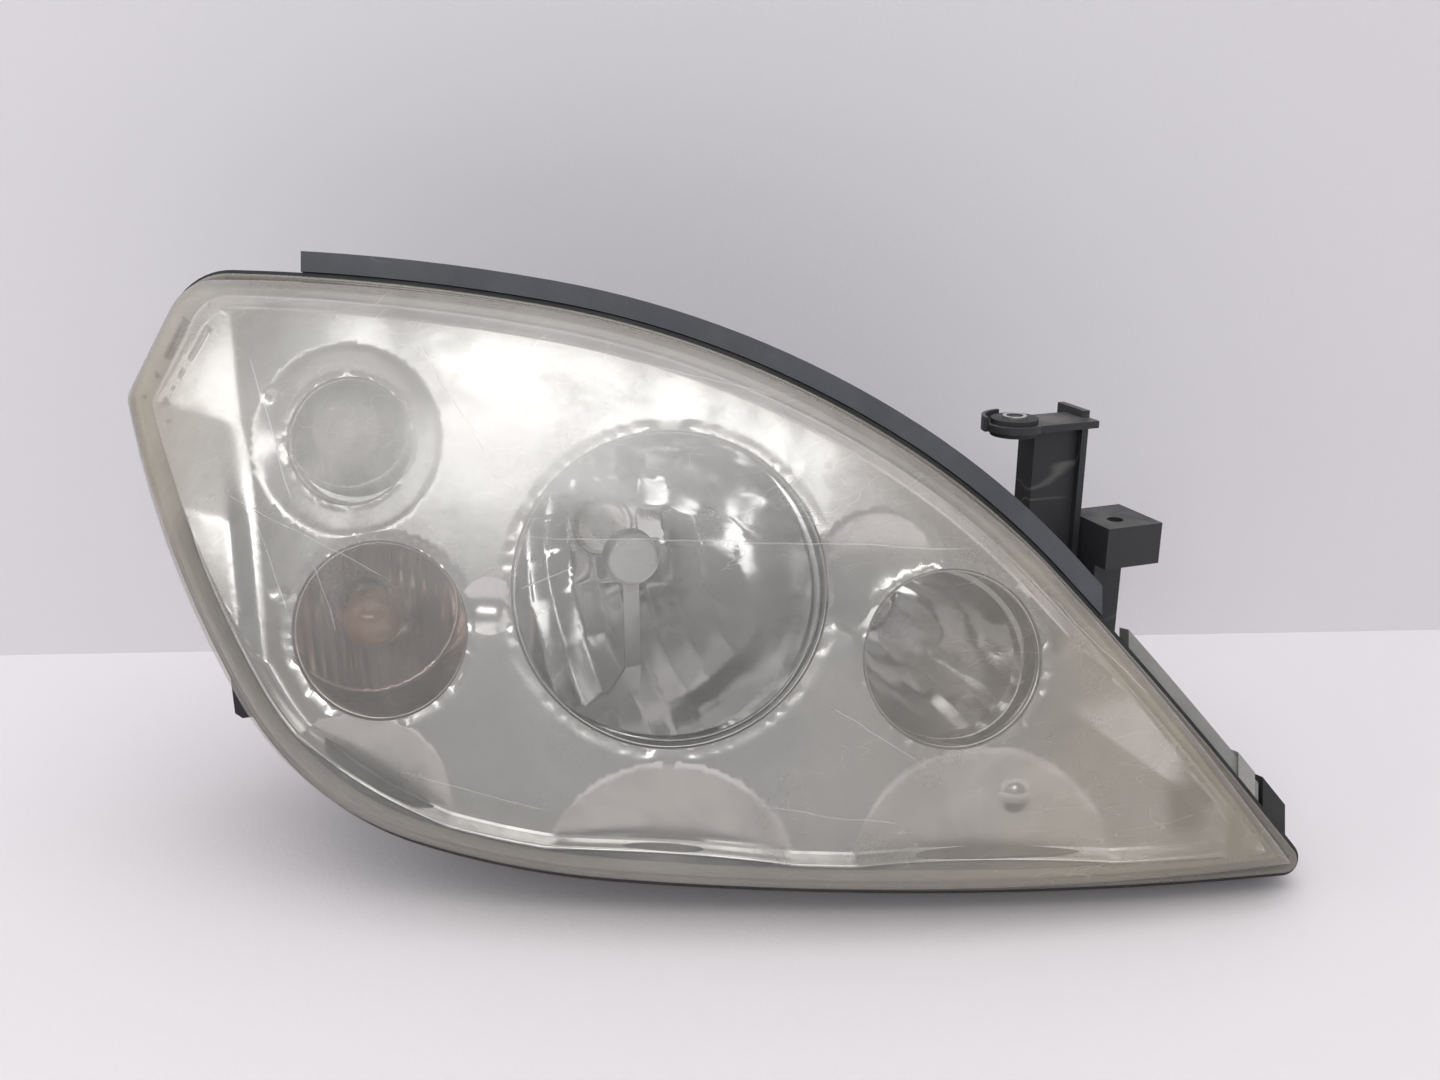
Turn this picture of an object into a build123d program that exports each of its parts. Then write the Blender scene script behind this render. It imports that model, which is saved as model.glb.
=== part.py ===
from build123d import *
import os
from math import atan2, cos, degrees, radians, sin, sqrt

# A car headlamp for the right-hand side of the vehicle: a leaf-shaped clear lens on a moulded
# housing, with low beam, high beam, turn signal and position light. Millimetres. +Z is up, the
# light leaves along -Y, and +X points to the middle of the vehicle. The origin is the middle of
# the base that the lamp stands on.

# The face of the lamp: a drawing plane swept back towards -X and raked back at the top.
SWEEP = 20.0
RAKE = 18.0
FACE_CENTRE = (-3.0, -19.5, 140.23)

# Leaf outline of the lens flange, drawn in the face plane: two corners, and from each a straight
# lead and a chain of tangent arcs (radius, degrees) that meet at the tip.
TOP_CORNER = (-209.5, 106.0)
LEFT_CORNER = (-235.5, 56.0)
TOP_HEADING = -3.0
BOTTOM_HEADING = -75.0
TOP_LEAD = 22.5
BOTTOM_LEAD = 13.7
TOP_ARCS = ((930, 7.5), (390, 22), (310, 14.5), (2300, 3.5))
BOTTOM_ARCS = ((414, 16), (121, 43), (368, 12), (2070, 7.3))
CORNER_RADII = (25.0, 14.0, 5.0)

# Lens
PARTING_RADIUS = 1600.0
FRONT_RADIUS = 900.0
FRONT_CROWN = 34.0
LENS_WALL = 3.0
LENS_INSET = 4.0
FLANGE_THICKNESS = 4.0
TONGUE_THICKNESS = 1.8
TONGUE_LENGTH = 8.0

# Joint between lens and housing
GROOVE_WIDTH = 3.0
GROOVE_DEPTH = 10.0
GROOVE_INSET = 2.0

# Housing
RIM_OVERHANG = 2.0
RIM_DEPTH = 20.0
RIM_WALL_INSET = 8.0
LEDGE_INSET = 13.0
WEB_THICKNESS = 4.0
TUB_INSET = 12.0
TUB_DRAWN_DEPTH = 30.0
HOUSING_WALL = 2.5
# Rear of the tub seen from above: back walls of the three chambers and where they step.
OUTER_CHAMBER_BACK = 136.0
MIDDLE_CHAMBER_BACK = 116.0
INNER_CHAMBER_BACK = 98.0
OUTER_STEP_X = -98.0
INNER_STEP_X = 46.0
TAPER_START_X = 145.0
TAPER_END = (245.0, -45.0)

# Bezel
BEZEL_DEPTH = 10.0
BEZEL_THICKNESS = 2.5
BEZEL_INSET = 9.0
LIP_WALL = 2.2
# Light openings in the bezel, in the face plane: centre u, v and radius.
LOW_OPENING = (-20.0, -19.5, 62.0)
HIGH_OPENING = (92.0, -47.0, 35.0)
TURN_OPENING = (-135.5, -36.0, 35.0)
POSITION_OPENING = (-148.6, 39.6, 25.0)
LIP_DEPTH = 6.0
# Dished scoops in the bezel: centre u, v, rim radius and depth.
SCOOPS = ((60.0, -14.5, 19.0, 4.0), (-143.0, -108.0, 34.0, 7.0), (-19.0, -138.0, 50.0, 9.0),
          (103.0, -134.0, 46.0, 9.0))
SCOOP_MARGIN = 13.5

# Optical axes, all along Y, from the face centre: x, z.
LOW_AXIS = (-20.0, -22.0)
HIGH_AXIS = (88.0, -54.0)
TURN_AXIS = (-126.0, -41.0)
POSITION_AXIS = (-128.0, 33.0)

# Reflectors: focal length, y of the vertex, inner radius of the skirt, depth of the rim plane
# behind the face and radius of the hole at the back. The high beam's skirt leaves room to aim
# under the sloping roof of the housing.
LOW_BOWL = (28.0, 103.0, 63.0, 27.0, 11.0)
HIGH_BOWL = (19.0, 50.0, 33.0, 31.0, 11.0)
TURN_BOWL = (14.0, 98.0, 35.5, 27.0, 9.0)
POSITION_BOWL = (9.0, 112.0, 25.0, 28.0, 7.5)
BOWL_WALL = 2.0
BOWL_BACK = 2.4
NECK_WALL = 4.0
NECK_LENGTH = 3.0
BULB_SEAT_RADIUS = 24.0
BULB_SEAT_THICKNESS = 5.0
LOW_FLANGE = (65.0, 4.0)
HIGH_FLANGE = (37.5, 3.0)

# Bulbs of the low and high beam
BASE_REACH = 7.0
FLANGE_RADIUS = 15.0
FLANGE_PLATE = 1.5
BASE_CUP = 9.0
BASE_CUP_LENGTH = 7.0
BLADE = (0.8, 7.5, 6.3)
PLUG = (18.0, 13.0, 14.0)
BEAM_GLASS = (6.0, 41.0)
SHIELD_RADIUS = 11.5
SHIELD_FRONT = 50.0
SHIELD_LENGTH = 9.0
WIRE_RADIUS = 0.9
CLIP_LIFT = 2.6
CLIP_EAR_X = 14.0
CLIP_LEG_X = 10.5
CLIP_HINGE_Z = 20.0
CLIP_CATCH_Z = 17.5

# Aiming: ball pivot, levelling motor and side adjuster, with their ball centres at AIM_Y.
AIM_Y = 92.0
PIVOT = (-80.0, -95.0)
MOTOR_ARM = (-80.0, 44.0)
ADJUSTER_ARM = (32.0, -95.0)
BALL_RADIUS = 4.0
BALL_CLEARANCE = 0.35
MOUTH_RADIUS = 3.4
SOCKET_WALL = 4.0
SOCKET_DEPTH = 3.0
CUP_RADIUS = 11.5
CUP_CLEARANCE = 0.3
STEM_RADIUS = 2.2
SPINDLE_RADIUS = 3.0
CARRIER_Y = 74.0
CARRIER_THICKNESS = 3.0
CARRIER_BORE = 61.0
CARRIER_RING = 64.0
CARRIER_LEFT = -84.0
HIGH_BORE = 29.0
POST_CIRCLE = 33.5
POST_RADIUS = 3.5
POST_TURNS = (30, 150, 270)
LOW_SCREW_TURNS = (75, 225, 300)
SCREW_RADIUS = 2.0
SCREW_HEAD_RADIUS = 4.0
SCREW_HEAD = 2.6
MOTOR_BODY = (-69.0, 50.0)
MOTOR_RADIUS = 20.0
MOTOR_LENGTH = 30.0
MOTOR_NOSE = 13.0
MOTOR_NOSE_LENGTH = 13.0
MOTOR_SEAL = 2.0
MOTOR_INLET_DEPTH = 11.0
BUSH_BODY = 6.5
GEAR_HUB = 4.9
GEAR_RADIUS = 11.0
GEAR_TEETH = 18

# Rear covers, centred on the beams: collar bore, collar length and walls.
LOW_COLLAR = 46.0
HIGH_COLLAR = 32.0
COLLAR_LENGTH = 9.0
COLLAR_WALL = 2.5
LUG_REACH = 3.0
COVER_WALL = 2.5
COVER_DOME = 15.0
COVER_CLEARANCE = 0.8
SEAL_THICKNESS = 2.5

# Turn signal and position light
TURN_SOCKET_RADIUS = 17.0
POSITION_SOCKET_RADIUS = 12.0
SOCKET_CLEARANCE = 0.06
TURN_SOCKET_FRONT = 103.0
POSITION_SOCKET_FRONT = 116.5
TURN_BALL = 12.5
TURN_BALL_Y = 70.0
TURN_BASE = 7.5
TURN_BASE_Y = 84.0
POSITION_BULB_Y = 98.0
INNER_LENS = 14.0
INNER_LENS_FRONT = 86.0

# Seals and strips on the rim
STRIP_HEIGHT = 8.0
STRIP_DEPTH = 3.0
STRIP_WIDTH = 17.0
STRIP_RANGE = (-165.0, 150.0)
EDGE_STRIP_HEIGHT = 5.0
EDGE_STRIP_RANGE = (162.0, 216.0)
RIM_TAB_RANGE = (217.5, 227.0)
RIM_TAB_HEIGHT = 8.0

# Fastening points
BRACKET_HOLE = (131.0, 5.0, 35.0)
BRACKET_WIDTH = 24.0
BRACKET_THICKNESS = 3.0
BUSH_BORE = 7.0
BUSH_SLEEVE_DIAMETER = 10.0
BUSH_SLEEVE_LENGTH = 9.0
BUSH_DIAMETER = 19.5
BUSH_NECK = 8.0
ROOF_PROBE = 3.0
BRACKET_SCREWS = ((153.5, -4.0), (153.5, 20.0), (180.0, 16.0))
BRACKET_FEET = (3.0, 3.0, 2.5)
TAB_HOLE = (178.0, -1.0)
TAB_HOLE_DIAMETER = 7.0
TAB_TOP = -9.0
OUTER_TAB_THICKNESS = 4.0
OUTER_TAB_HOLE = (-176.0, -93.0)
OUTER_TAB_HOLE_DIAMETER = 8.5
OUTER_TAB_SCREWS = ((-161.0, -37.0), (-154.0, -59.0))
FEET = ((-133.0, -117.0, 96.0, 112.0), (80.0, 98.0, 70.0, 86.0))

# Electrical inlet and vent
CONNECTOR = (-25.0, -97.0)
CONNECTOR_SHELL = (30.0, 15.0, 22.0, 2.0)
PIN_RADIUS = 0.5
PIN_REACH = 11.0
VENT = (-168.0, 12.0)
VENT_SPIGOT = 5.0

os.makedirs("parts", exist_ok=True)

FACE = Plane(
    origin=FACE_CENTRE,
    x_dir=(cos(radians(SWEEP)), -sin(radians(SWEEP)), 0),
    z_dir=(-sin(radians(SWEEP)) * cos(radians(RAKE)), -cos(radians(SWEEP)) * cos(radians(RAKE)),
           sin(radians(RAKE))),
)
FX, FY, FZ = FACE_CENTRE
BIG = 600.0


def save(name, shape):
    export_step(shape, os.path.join("parts", name + ".step"))
    print(name, len(shape.solids()), round(shape.volume))


def chain(start, heading, lead, arcs, turn):
    """A straight lead and tangent arcs from a corner of the leaf."""
    way = Vector(1, 0).rotate(Axis.Z, heading)
    edges = [Line(start, Vector(*start) + way * lead)]
    for radius, angle in arcs:
        edges.append(JernArc(edges[-1] @ 1, edges[-1] % 1, radius, turn * angle))
    return edges


def draw_leaf():
    top = chain(TOP_CORNER, TOP_HEADING, TOP_LEAD, TOP_ARCS, -1)
    bottom = chain(LEFT_CORNER, BOTTOM_HEADING, BOTTOM_LEAD, BOTTOM_ARCS, 1)
    a, a_way, b, b_way = top[-1] @ 1, top[-1] % 1, bottom[-1] @ 1, bottom[-1] % 1
    tip = a + a_way * ((b - a).cross(b_way).Z / a_way.cross(b_way).Z)
    edges = top + bottom + [Line(a, tip), Line(tip, b), Line(LEFT_CORNER, TOP_CORNER)]
    face = make_face(Wire(edges))
    for corner, radius in zip((TOP_CORNER, LEFT_CORNER, tip), CORNER_RADII):
        face = fillet(face.vertices().sort_by_distance(corner)[0], radius)
    return face


LEAF = draw_leaf()


def leaf(inset):
    return offset(LEAF, -inset, kind=Kind.INTERSECTION) if inset else LEAF


def prism(inset, low=-120, high=80):
    """The leaf moved inward by inset, as a block square to the face."""
    return extrude(Pos(0, 0, low) * leaf(inset), high - low)


def behind(depth):
    """Everything behind the curved parting surface, moved back by depth."""
    return Pos(0, 0, -PARTING_RADIUS) * Rot(90, 0, 0) * Cylinder(PARTING_RADIUS - depth, 2 * BIG)


def disc(opening, low, high, extra=0):
    """A round block square to the face at a light opening."""
    u, v, radius = opening[:3]
    return Pos(u, v, (low + high) / 2) * Cylinder(radius + extra, high - low)


def placed(shape):
    return FACE.location * shape


def along_y(x, z, radius, y0, y1):
    """A round bar along Y, placed from the face centre."""
    return (Pos(FX + x, FY + (y0 + y1) / 2, FZ + z) * Rot(90, 0, 0)
            * Cylinder(radius, abs(y1 - y0)))


def ring_y(x, z, outer, inner, y0, y1):
    return along_y(x, z, outer, y0, y1) - along_y(x, z, inner, y0 - 1, y1 + 1)


def block(x0, x1, y0, y1, z0, z1):
    """A box between corners given from the face centre."""
    return (Pos(FX + (x0 + x1) / 2, FY + (y0 + y1) / 2, FZ + (z0 + z1) / 2)
            * Box(abs(x1 - x0), abs(y1 - y0), abs(z1 - z0)))


def ball(x, y, z, radius):
    return Pos(FX + x, FY + y, FZ + z) * Sphere(radius)


def hole_z(x, y, radius, z0, z1):
    return Pos(FX + x, FY + y, FZ + (z0 + z1) / 2) * Cylinder(radius, abs(z1 - z0))


def turned(points, x, z):
    """A profile of (radius, y) points turned about an axis along Y."""
    profile = make_face(Polyline(*points, close=True))
    return Pos(FX + x, FY, FZ + z) * revolve(profile, Axis.Y)


def rim_plane(depth):
    """The half space in front of a plane that lies depth behind the face."""
    return placed(Pos(0, 0, BIG - depth) * Box(2 * BIG, 2 * BIG, 2 * BIG))


# ---------------------------------------------------------------- lens
def make_lens():
    ball_centre = Pos(0, 0, FRONT_CROWN - FRONT_RADIUS)
    dome = prism(LENS_INSET) & (ball_centre * Sphere(FRONT_RADIUS))
    dome -= behind(0)
    hollow = prism(LENS_INSET + LENS_WALL) & (ball_centre * Sphere(FRONT_RADIUS - LENS_WALL))
    flange = (prism(0) & behind(0)) - behind(FLANGE_THICKNESS)
    gap = (GROOVE_WIDTH - TONGUE_THICKNESS) / 2
    tongue = prism(GROOVE_INSET + gap) - prism(GROOVE_INSET + gap + TONGUE_THICKNESS)
    tongue = (tongue & behind(FLANGE_THICKNESS)) - behind(FLANGE_THICKNESS + TONGUE_LENGTH)
    flange -= prism(LENS_INSET + LENS_WALL)
    return placed((dome - hollow) + flange + tongue)


def make_sealant():
    bead = prism(GROOVE_INSET) - prism(GROOVE_INSET + GROOVE_WIDTH)
    bottom = FLANGE_THICKNESS + GROOVE_DEPTH
    return placed((bead & behind(FLANGE_THICKNESS + TONGUE_LENGTH)) - behind(bottom))


# ---------------------------------------------------------------- housing
def plan(inset):
    """The tub seen from above, a block that its walls are cut to."""
    back = [
        (-BIG, OUTER_CHAMBER_BACK - inset),
        (OUTER_STEP_X - inset, OUTER_CHAMBER_BACK - inset),
        (OUTER_STEP_X - inset, MIDDLE_CHAMBER_BACK - inset),
        (INNER_STEP_X - inset, MIDDLE_CHAMBER_BACK - inset),
        (INNER_STEP_X - inset, INNER_CHAMBER_BACK - inset),
        (TAPER_START_X - inset, INNER_CHAMBER_BACK - inset),
        (TAPER_END[0] - inset, TAPER_END[1] - inset),
        (TAPER_END[0] - inset, -BIG),
        (-BIG, -BIG),
    ]
    face = make_face(Polyline(*back, close=True))
    return Pos(FX, FY, FZ - 200) * extrude(face, 400)


def tub(inset):
    """The leaf carried straight back along Y."""
    sketch = placed(Pos(0, 0, -TUB_DRAWN_DEPTH) * leaf(inset))
    return extrude(sketch, BIG / 2, dir=(0, 1, 0)) + extrude(sketch, 60, dir=(0, -1, 0))


def bayonet_collar(axis, radius, back):
    x, z = axis
    collar = along_y(x, z, radius + COLLAR_WALL, back - 1, back + COLLAR_LENGTH)
    for turn in (0, 120, 240):
        lug = Pos(radius + COLLAR_WALL + 1.0, 0, 0) * Box(4, 3, 9)
        collar += Pos(FX + x, FY + back + 5.5, FZ + z) * Rot(0, turn, 0) * lug
    return collar


def make_housing():
    seat = FLANGE_THICKNESS
    rim = (prism(-RIM_OVERHANG) & behind(seat)) - behind(seat + RIM_DEPTH)
    body = placed(rim)
    back = placed(behind(seat + RIM_DEPTH - WEB_THICKNESS))
    body += tub(TUB_INSET) & back & plan(0)
    body += bayonet_collar(LOW_AXIS, LOW_COLLAR, MIDDLE_CHAMBER_BACK)
    body += bayonet_collar(HIGH_AXIS, HIGH_COLLAR, INNER_CHAMBER_BACK)
    body += along_y(*TURN_AXIS, TURN_SOCKET_RADIUS + 3, OUTER_CHAMBER_BACK - 1, OUTER_CHAMBER_BACK + 4)
    body += along_y(*POSITION_AXIS, POSITION_SOCKET_RADIUS + 3, OUTER_CHAMBER_BACK - 1,
                    OUTER_CHAMBER_BACK + 4)
    for x0, x1, y0, y1 in FEET:
        body += block(x0, x1, y0, y1, -FZ, LOW_AXIS[1])
    tab = (prism(-RIM_OVERHANG - RIM_TAB_HEIGHT) & behind(6)) - behind(20) - prism(0)
    body += placed(tab & in_face(*RIM_TAB_RANGE, -125, 0))
    # hollow
    ledge = BEZEL_DEPTH + BEZEL_THICKNESS
    inside = prism(RIM_WALL_INSET) - behind(ledge)
    inside += prism(LEDGE_INSET) - behind(seat + RIM_DEPTH - WEB_THICKNESS)
    body -= placed(inside)
    body -= tub(TUB_INSET + HOUSING_WALL) & plan(HOUSING_WALL)
    # groove for the lens tongue
    groove = (prism(GROOVE_INSET) - prism(GROOVE_INSET + GROOVE_WIDTH)) - behind(seat + GROOVE_DEPTH)
    body -= placed(groove)
    # rear openings
    body -= along_y(*LOW_AXIS, LOW_COLLAR, MIDDLE_CHAMBER_BACK - 20, MIDDLE_CHAMBER_BACK + 20)
    body -= along_y(*HIGH_AXIS, HIGH_COLLAR, INNER_CHAMBER_BACK - 20, INNER_CHAMBER_BACK + 20)
    body -= along_y(*TURN_AXIS, TURN_SOCKET_RADIUS, OUTER_CHAMBER_BACK - 10, OUTER_CHAMBER_BACK + 20)
    body -= along_y(*POSITION_AXIS, POSITION_SOCKET_RADIUS, OUTER_CHAMBER_BACK - 10,
                    OUTER_CHAMBER_BACK + 20)
    # seats of the aiming gear, the inlet, the vent and the screws
    middle = MIDDLE_CHAMBER_BACK
    body += along_y(*PIVOT, 8, middle - 5.5, middle - 1)
    body -= along_y(*PIVOT, 3, middle - 20, middle + 20)
    body -= along_y(*MOTOR_ARM, MOTOR_NOSE + 0.2, middle - 20, middle + 20)
    body -= along_y(*ADJUSTER_ARM, BUSH_BODY, middle - 20, middle + 20)
    width, height = CONNECTOR_SHELL[:2]
    x, z = CONNECTOR
    body -= block(x - width / 2, x + width / 2, middle - 20, middle + 20, z - height / 2, z + height / 2)
    outer = OUTER_CHAMBER_BACK
    body += along_y(*VENT, VENT_SPIGOT, outer - 1, outer + 9)
    body -= along_y(*VENT, VENT_SPIGOT - 1.5, outer - 20, outer + 20)
    for screw in OUTER_TAB_SCREWS:
        body -= along_y(*screw, SCREW_RADIUS, outer - 20, outer + 20)
    for x, y in BRACKET_SCREWS:
        body -= roof_bar(x, y, SCREW_RADIUS, 40)
    return body


# ---------------------------------------------------------------- bezel
def surface(u, depth):
    """Height of the curved surface depth behind the parting surface, at u."""
    return sqrt((PARTING_RADIUS - depth) ** 2 - u * u) - PARTING_RADIUS


def make_bezel():
    back = BEZEL_DEPTH + BEZEL_THICKNESS
    body = (prism(BEZEL_INSET) & behind(1)) - behind(back)
    body -= prism(BEZEL_INSET + BEZEL_THICKNESS) - behind(BEZEL_DEPTH)
    openings = (LOW_OPENING, HIGH_OPENING, TURN_OPENING, POSITION_OPENING)
    for u, v, radius, depth in SCOOPS:
        ball_radius = (radius**2 + depth**2) / (2 * depth)
        centre = Pos(u, v, surface(u, BEZEL_DEPTH) - depth + ball_radius)
        shell = centre * Sphere(ball_radius + BEZEL_THICKNESS)
        body += shell & behind(BEZEL_DEPTH) & prism(SCOOP_MARGIN)
        body -= (centre * Sphere(ball_radius)) & prism(SCOOP_MARGIN + BEZEL_THICKNESS)
    for opening in openings:
        low = surface(opening[0], BEZEL_DEPTH) - LIP_DEPTH - BEZEL_THICKNESS
        body += disc(opening, low, 0, LIP_WALL) & behind(BEZEL_DEPTH)
    for opening in openings:
        body -= disc(opening, -60, 20)
    return placed(body)


# ---------------------------------------------------------------- reflectors
def parabola(start, end, vertex, focal):
    """The arc r * r = 4 * focal * (vertex - y) between two radii."""
    def y_at(r):
        return vertex - r * r / (4 * focal)

    control = ((start + end) / 2, vertex - start * end / (4 * focal))
    return Bezier((start, y_at(start)), control, (end, y_at(end)))


def bowl_solid(axis, focal, vertex, radius, front):
    """A paraboloid with a straight skirt, as one solid of revolution."""
    curve = parabola(0, radius, vertex, focal)
    rim = curve @ 1
    edges = [curve, Line(rim, (radius, front)), Line((radius, front), (0, front)), Line((0, front), curve @ 0)]
    return Pos(FX + axis[0], FY, FZ + axis[1]) * revolve(make_face(Wire(edges)), Axis.Y)


def make_reflector(axis, bowl, extras):
    focal, vertex, radius, rim_depth, hole = bowl
    outer_vertex = vertex + BOWL_BACK
    shoulder = vertex - radius**2 / (4 * focal)
    outer_focal = (radius + BOWL_WALL) ** 2 / (4 * (outer_vertex - shoulder))
    body = bowl_solid(axis, outer_focal, outer_vertex, radius + BOWL_WALL, -70)
    body += along_y(*axis, hole + NECK_WALL, vertex - BULB_SEAT_THICKNESS, vertex + NECK_LENGTH)
    for extra in extras:
        body += extra
    body -= bowl_solid(axis, focal, vertex, radius, -75)
    body -= along_y(*axis, hole, vertex - 20, vertex + 20)
    return body - rim_plane(rim_depth)


def bulb_seat(axis, bowl):
    """Round pad behind a reflector with the ears and posts of the wire clip."""
    x, z = axis
    seat = bowl[1] + NECK_LENGTH
    pad = along_y(x, z, BULB_SEAT_RADIUS, seat - BULB_SEAT_THICKNESS, seat)
    for side in (-1, 1):
        ear = block(x + side * CLIP_EAR_X - 1.5, x + side * CLIP_EAR_X + 1.5, seat - 1,
                    seat + CLIP_LIFT + 2.5, z + CLIP_HINGE_Z - 2.5, z + CLIP_HINGE_Z + 2.5)
        post = block(x + side * 6 - 1.5, x + side * 6 + 1.5, seat - 1, seat + CLIP_LIFT + 2.5,
                     z - CLIP_CATCH_Z - 4.2, z - CLIP_CATCH_Z - 1.2)
        pad += ear + post
    wire = Pos(FX + x, FY + seat + CLIP_LIFT, FZ + z + CLIP_HINGE_Z) * Rot(0, 90, 0)
    return pad - wire * Cylinder(WIRE_RADIUS + 0.1, 60)


def make_clip(axis, bowl):
    """Wire bail that presses a bulb's flange on its seat."""
    x, z = axis
    y = bowl[1] + NECK_LENGTH + CLIP_LIFT
    top, low = z + CLIP_HINGE_Z, z - CLIP_CATCH_Z
    pins = [(Pos(FX + x + side * (CLIP_LEG_X + 4), FY + y, FZ + top) * Rot(0, 90, 0)
             * Cylinder(WIRE_RADIUS, 8)) for side in (-1, 1)]
    clip = Pos(FX + x, FY + y, FZ + low) * Rot(0, 90, 0) * Cylinder(WIRE_RADIUS, 2 * CLIP_LEG_X)
    for side in (-1, 1):
        leg = Pos(FX + x + side * CLIP_LEG_X, FY + y, FZ + (top + low) / 2)
        clip += leg * Cylinder(WIRE_RADIUS, top - low)
        clip += ball(x + side * CLIP_LEG_X, y, top, WIRE_RADIUS)
        clip += ball(x + side * CLIP_LEG_X, y, low, WIRE_RADIUS)
    for pin in pins:
        clip += pin
    return clip


def make_bulb_glass(axis, seat, length, radius):
    x, z = axis
    glass = along_y(x, z, radius, seat - length + radius, seat - BASE_REACH)
    return glass + ball(x, seat - length + radius, z, radius)


def make_bulb_base(axis, seat, hole):
    """Metal base with its locating flange and two blade terminals."""
    x, z = axis
    base = along_y(x, z, hole - 0.1, seat - BASE_REACH, seat)
    base += along_y(x, z, FLANGE_RADIUS, seat, seat + FLANGE_PLATE)
    base += along_y(x, z, BASE_CUP, seat + FLANGE_PLATE, seat + BASE_CUP_LENGTH)
    y = seat + BASE_CUP_LENGTH
    for side in (-1, 1):
        base += block(x + side * 4 - BLADE[0] / 2, x + side * 4 + BLADE[0] / 2, y - 1, y + BLADE[1],
                      z - BLADE[2] / 2, z + BLADE[2] / 2)
    return base


def make_bulb_plug(axis, seat):
    x, z = axis
    y = seat + BASE_CUP_LENGTH + 0.3
    width, height, length = PLUG
    plug = block(x - width / 2, x + width / 2, y, y + length, z - height / 2, z + height / 2)
    plug = fillet(plug.edges().filter_by(Axis.Y), 2)
    for side in (-1, 1):
        plug -= block(x + side * 4 - BLADE[0] / 2 - 0.2, x + side * 4 + BLADE[0] / 2 + 0.2, y - 1,
                      y + BLADE[1] + 0.5, z - BLADE[2] / 2 - 0.2, z + BLADE[2] / 2 + 0.2)
        plug -= along_y(x + side * 4, z, 1.8, y + length - 3, y + length + 1)
    return plug


def make_shield():
    """Cap in front of the low beam bulb, on a strip that stands on the reflector."""
    x, z = LOW_AXIS
    cap = along_y(x, z, SHIELD_RADIUS, SHIELD_FRONT, SHIELD_FRONT + SHIELD_LENGTH)
    cap = fillet(cap.edges().sort_by(Axis.Y)[0], 2)
    cap -= along_y(x, z, SHIELD_RADIUS - 1, SHIELD_FRONT + 1.2, SHIELD_FRONT + SHIELD_LENGTH + 1)
    foot = z - LOW_BOWL[2] + 0.2
    y = SHIELD_FRONT + SHIELD_LENGTH - 2
    return cap + block(x - 3.5, x + 3.5, y - 1.2, y, foot, z - SHIELD_RADIUS + 0.5)


# ---------------------------------------------------------------- aiming
def arm(x, z, width):
    """Bar of the carrier from the low beam axis to a ball joint."""
    dx, dz = x - LOW_AXIS[0], z - LOW_AXIS[1]
    length = sqrt(dx * dx + dz * dz)
    angle = Vector(1, 0, 0).get_signed_angle(Vector(dx, 0, dz), Vector(0, 1, 0))
    middle = Pos(FX + (x + LOW_AXIS[0]) / 2, FY + CARRIER_Y + CARRIER_THICKNESS / 2,
                 FZ + (z + LOW_AXIS[1]) / 2)
    return middle * Rot(0, angle, 0) * Box(length, CARRIER_THICKNESS, width)


def make_carrier():
    y0, y1 = CARRIER_Y, CARRIER_Y + CARRIER_THICKNESS
    plate = along_y(*LOW_AXIS, CARRIER_RING, y0, y1)
    plate += along_y(*HIGH_AXIS, HIGH_FLANGE[0], y0, y1)
    for point in (PIVOT, MOTOR_ARM, ADJUSTER_ARM):
        plate += arm(*point, 18)
        plate += along_y(*point, 9, y0, AIM_Y + SOCKET_DEPTH)
    plate += block(LOW_AXIS[0], HIGH_AXIS[0], y0, y1, LOW_AXIS[1] - 34, LOW_AXIS[1] - 14)
    plate += along_y(*PIVOT, CUP_RADIUS, y0, AIM_Y + SOCKET_DEPTH + 1)
    plate -= block(-200, CARRIER_LEFT, -50, y1 + 0.01, PIVOT[1] + 16, 200)
    plate -= along_y(*LOW_AXIS, CARRIER_BORE, y0 - 1, y1 + 1)
    plate -= along_y(*HIGH_AXIS, HIGH_BORE, y0 - 1, y1 + 1)
    high_seat = HIGH_BOWL[1] + NECK_LENGTH - BULB_SEAT_THICKNESS - 1
    for turn in POST_TURNS:
        px = HIGH_AXIS[0] + POST_CIRCLE * cos(radians(turn))
        pz = HIGH_AXIS[1] + POST_CIRCLE * sin(radians(turn))
        plate += along_y(px, pz, POST_RADIUS, high_seat, y0 + 0.5)
        plate -= along_y(px, pz, SCREW_RADIUS, high_seat - 1, y1 + 1)
    for px, pz in low_screw_points():
        plate -= along_y(px, pz, SCREW_RADIUS, y0 - 1, y1 + 1)
    for x, z in (MOTOR_ARM, ADJUSTER_ARM):
        plate -= ball(x, AIM_Y, z, BALL_RADIUS + BALL_CLEARANCE + 0.15)
        plate -= along_y(x, z, MOUTH_RADIUS, AIM_Y, AIM_Y + 20)
    cup = BALL_RADIUS + BALL_CLEARANCE + SOCKET_WALL
    plate -= ball(PIVOT[0], AIM_Y, PIVOT[1], cup + CUP_CLEARANCE)
    plate -= along_y(*PIVOT, cup - 0.6, AIM_Y, AIM_Y + 20)
    return plate


def low_screw_points():
    circle = CARRIER_BORE + 4.5
    return [(LOW_AXIS[0] + circle * cos(radians(t)), LOW_AXIS[1] + circle * sin(radians(t)))
            for t in LOW_SCREW_TURNS]


def make_low_reflector():
    radius, thickness = LOW_FLANGE
    extras = [along_y(*LOW_AXIS, radius, CARRIER_Y - thickness, CARRIER_Y), bulb_seat(LOW_AXIS, LOW_BOWL)]
    for px, pz in low_screw_points():
        extras.append(along_y(px, pz, 5, CARRIER_Y - thickness, CARRIER_Y))
    body = make_reflector(LOW_AXIS, LOW_BOWL, extras)
    for px, pz in low_screw_points():
        body -= along_y(px, pz, SCREW_RADIUS, CARRIER_Y - thickness - 1, CARRIER_Y + 1)
    return body


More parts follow.
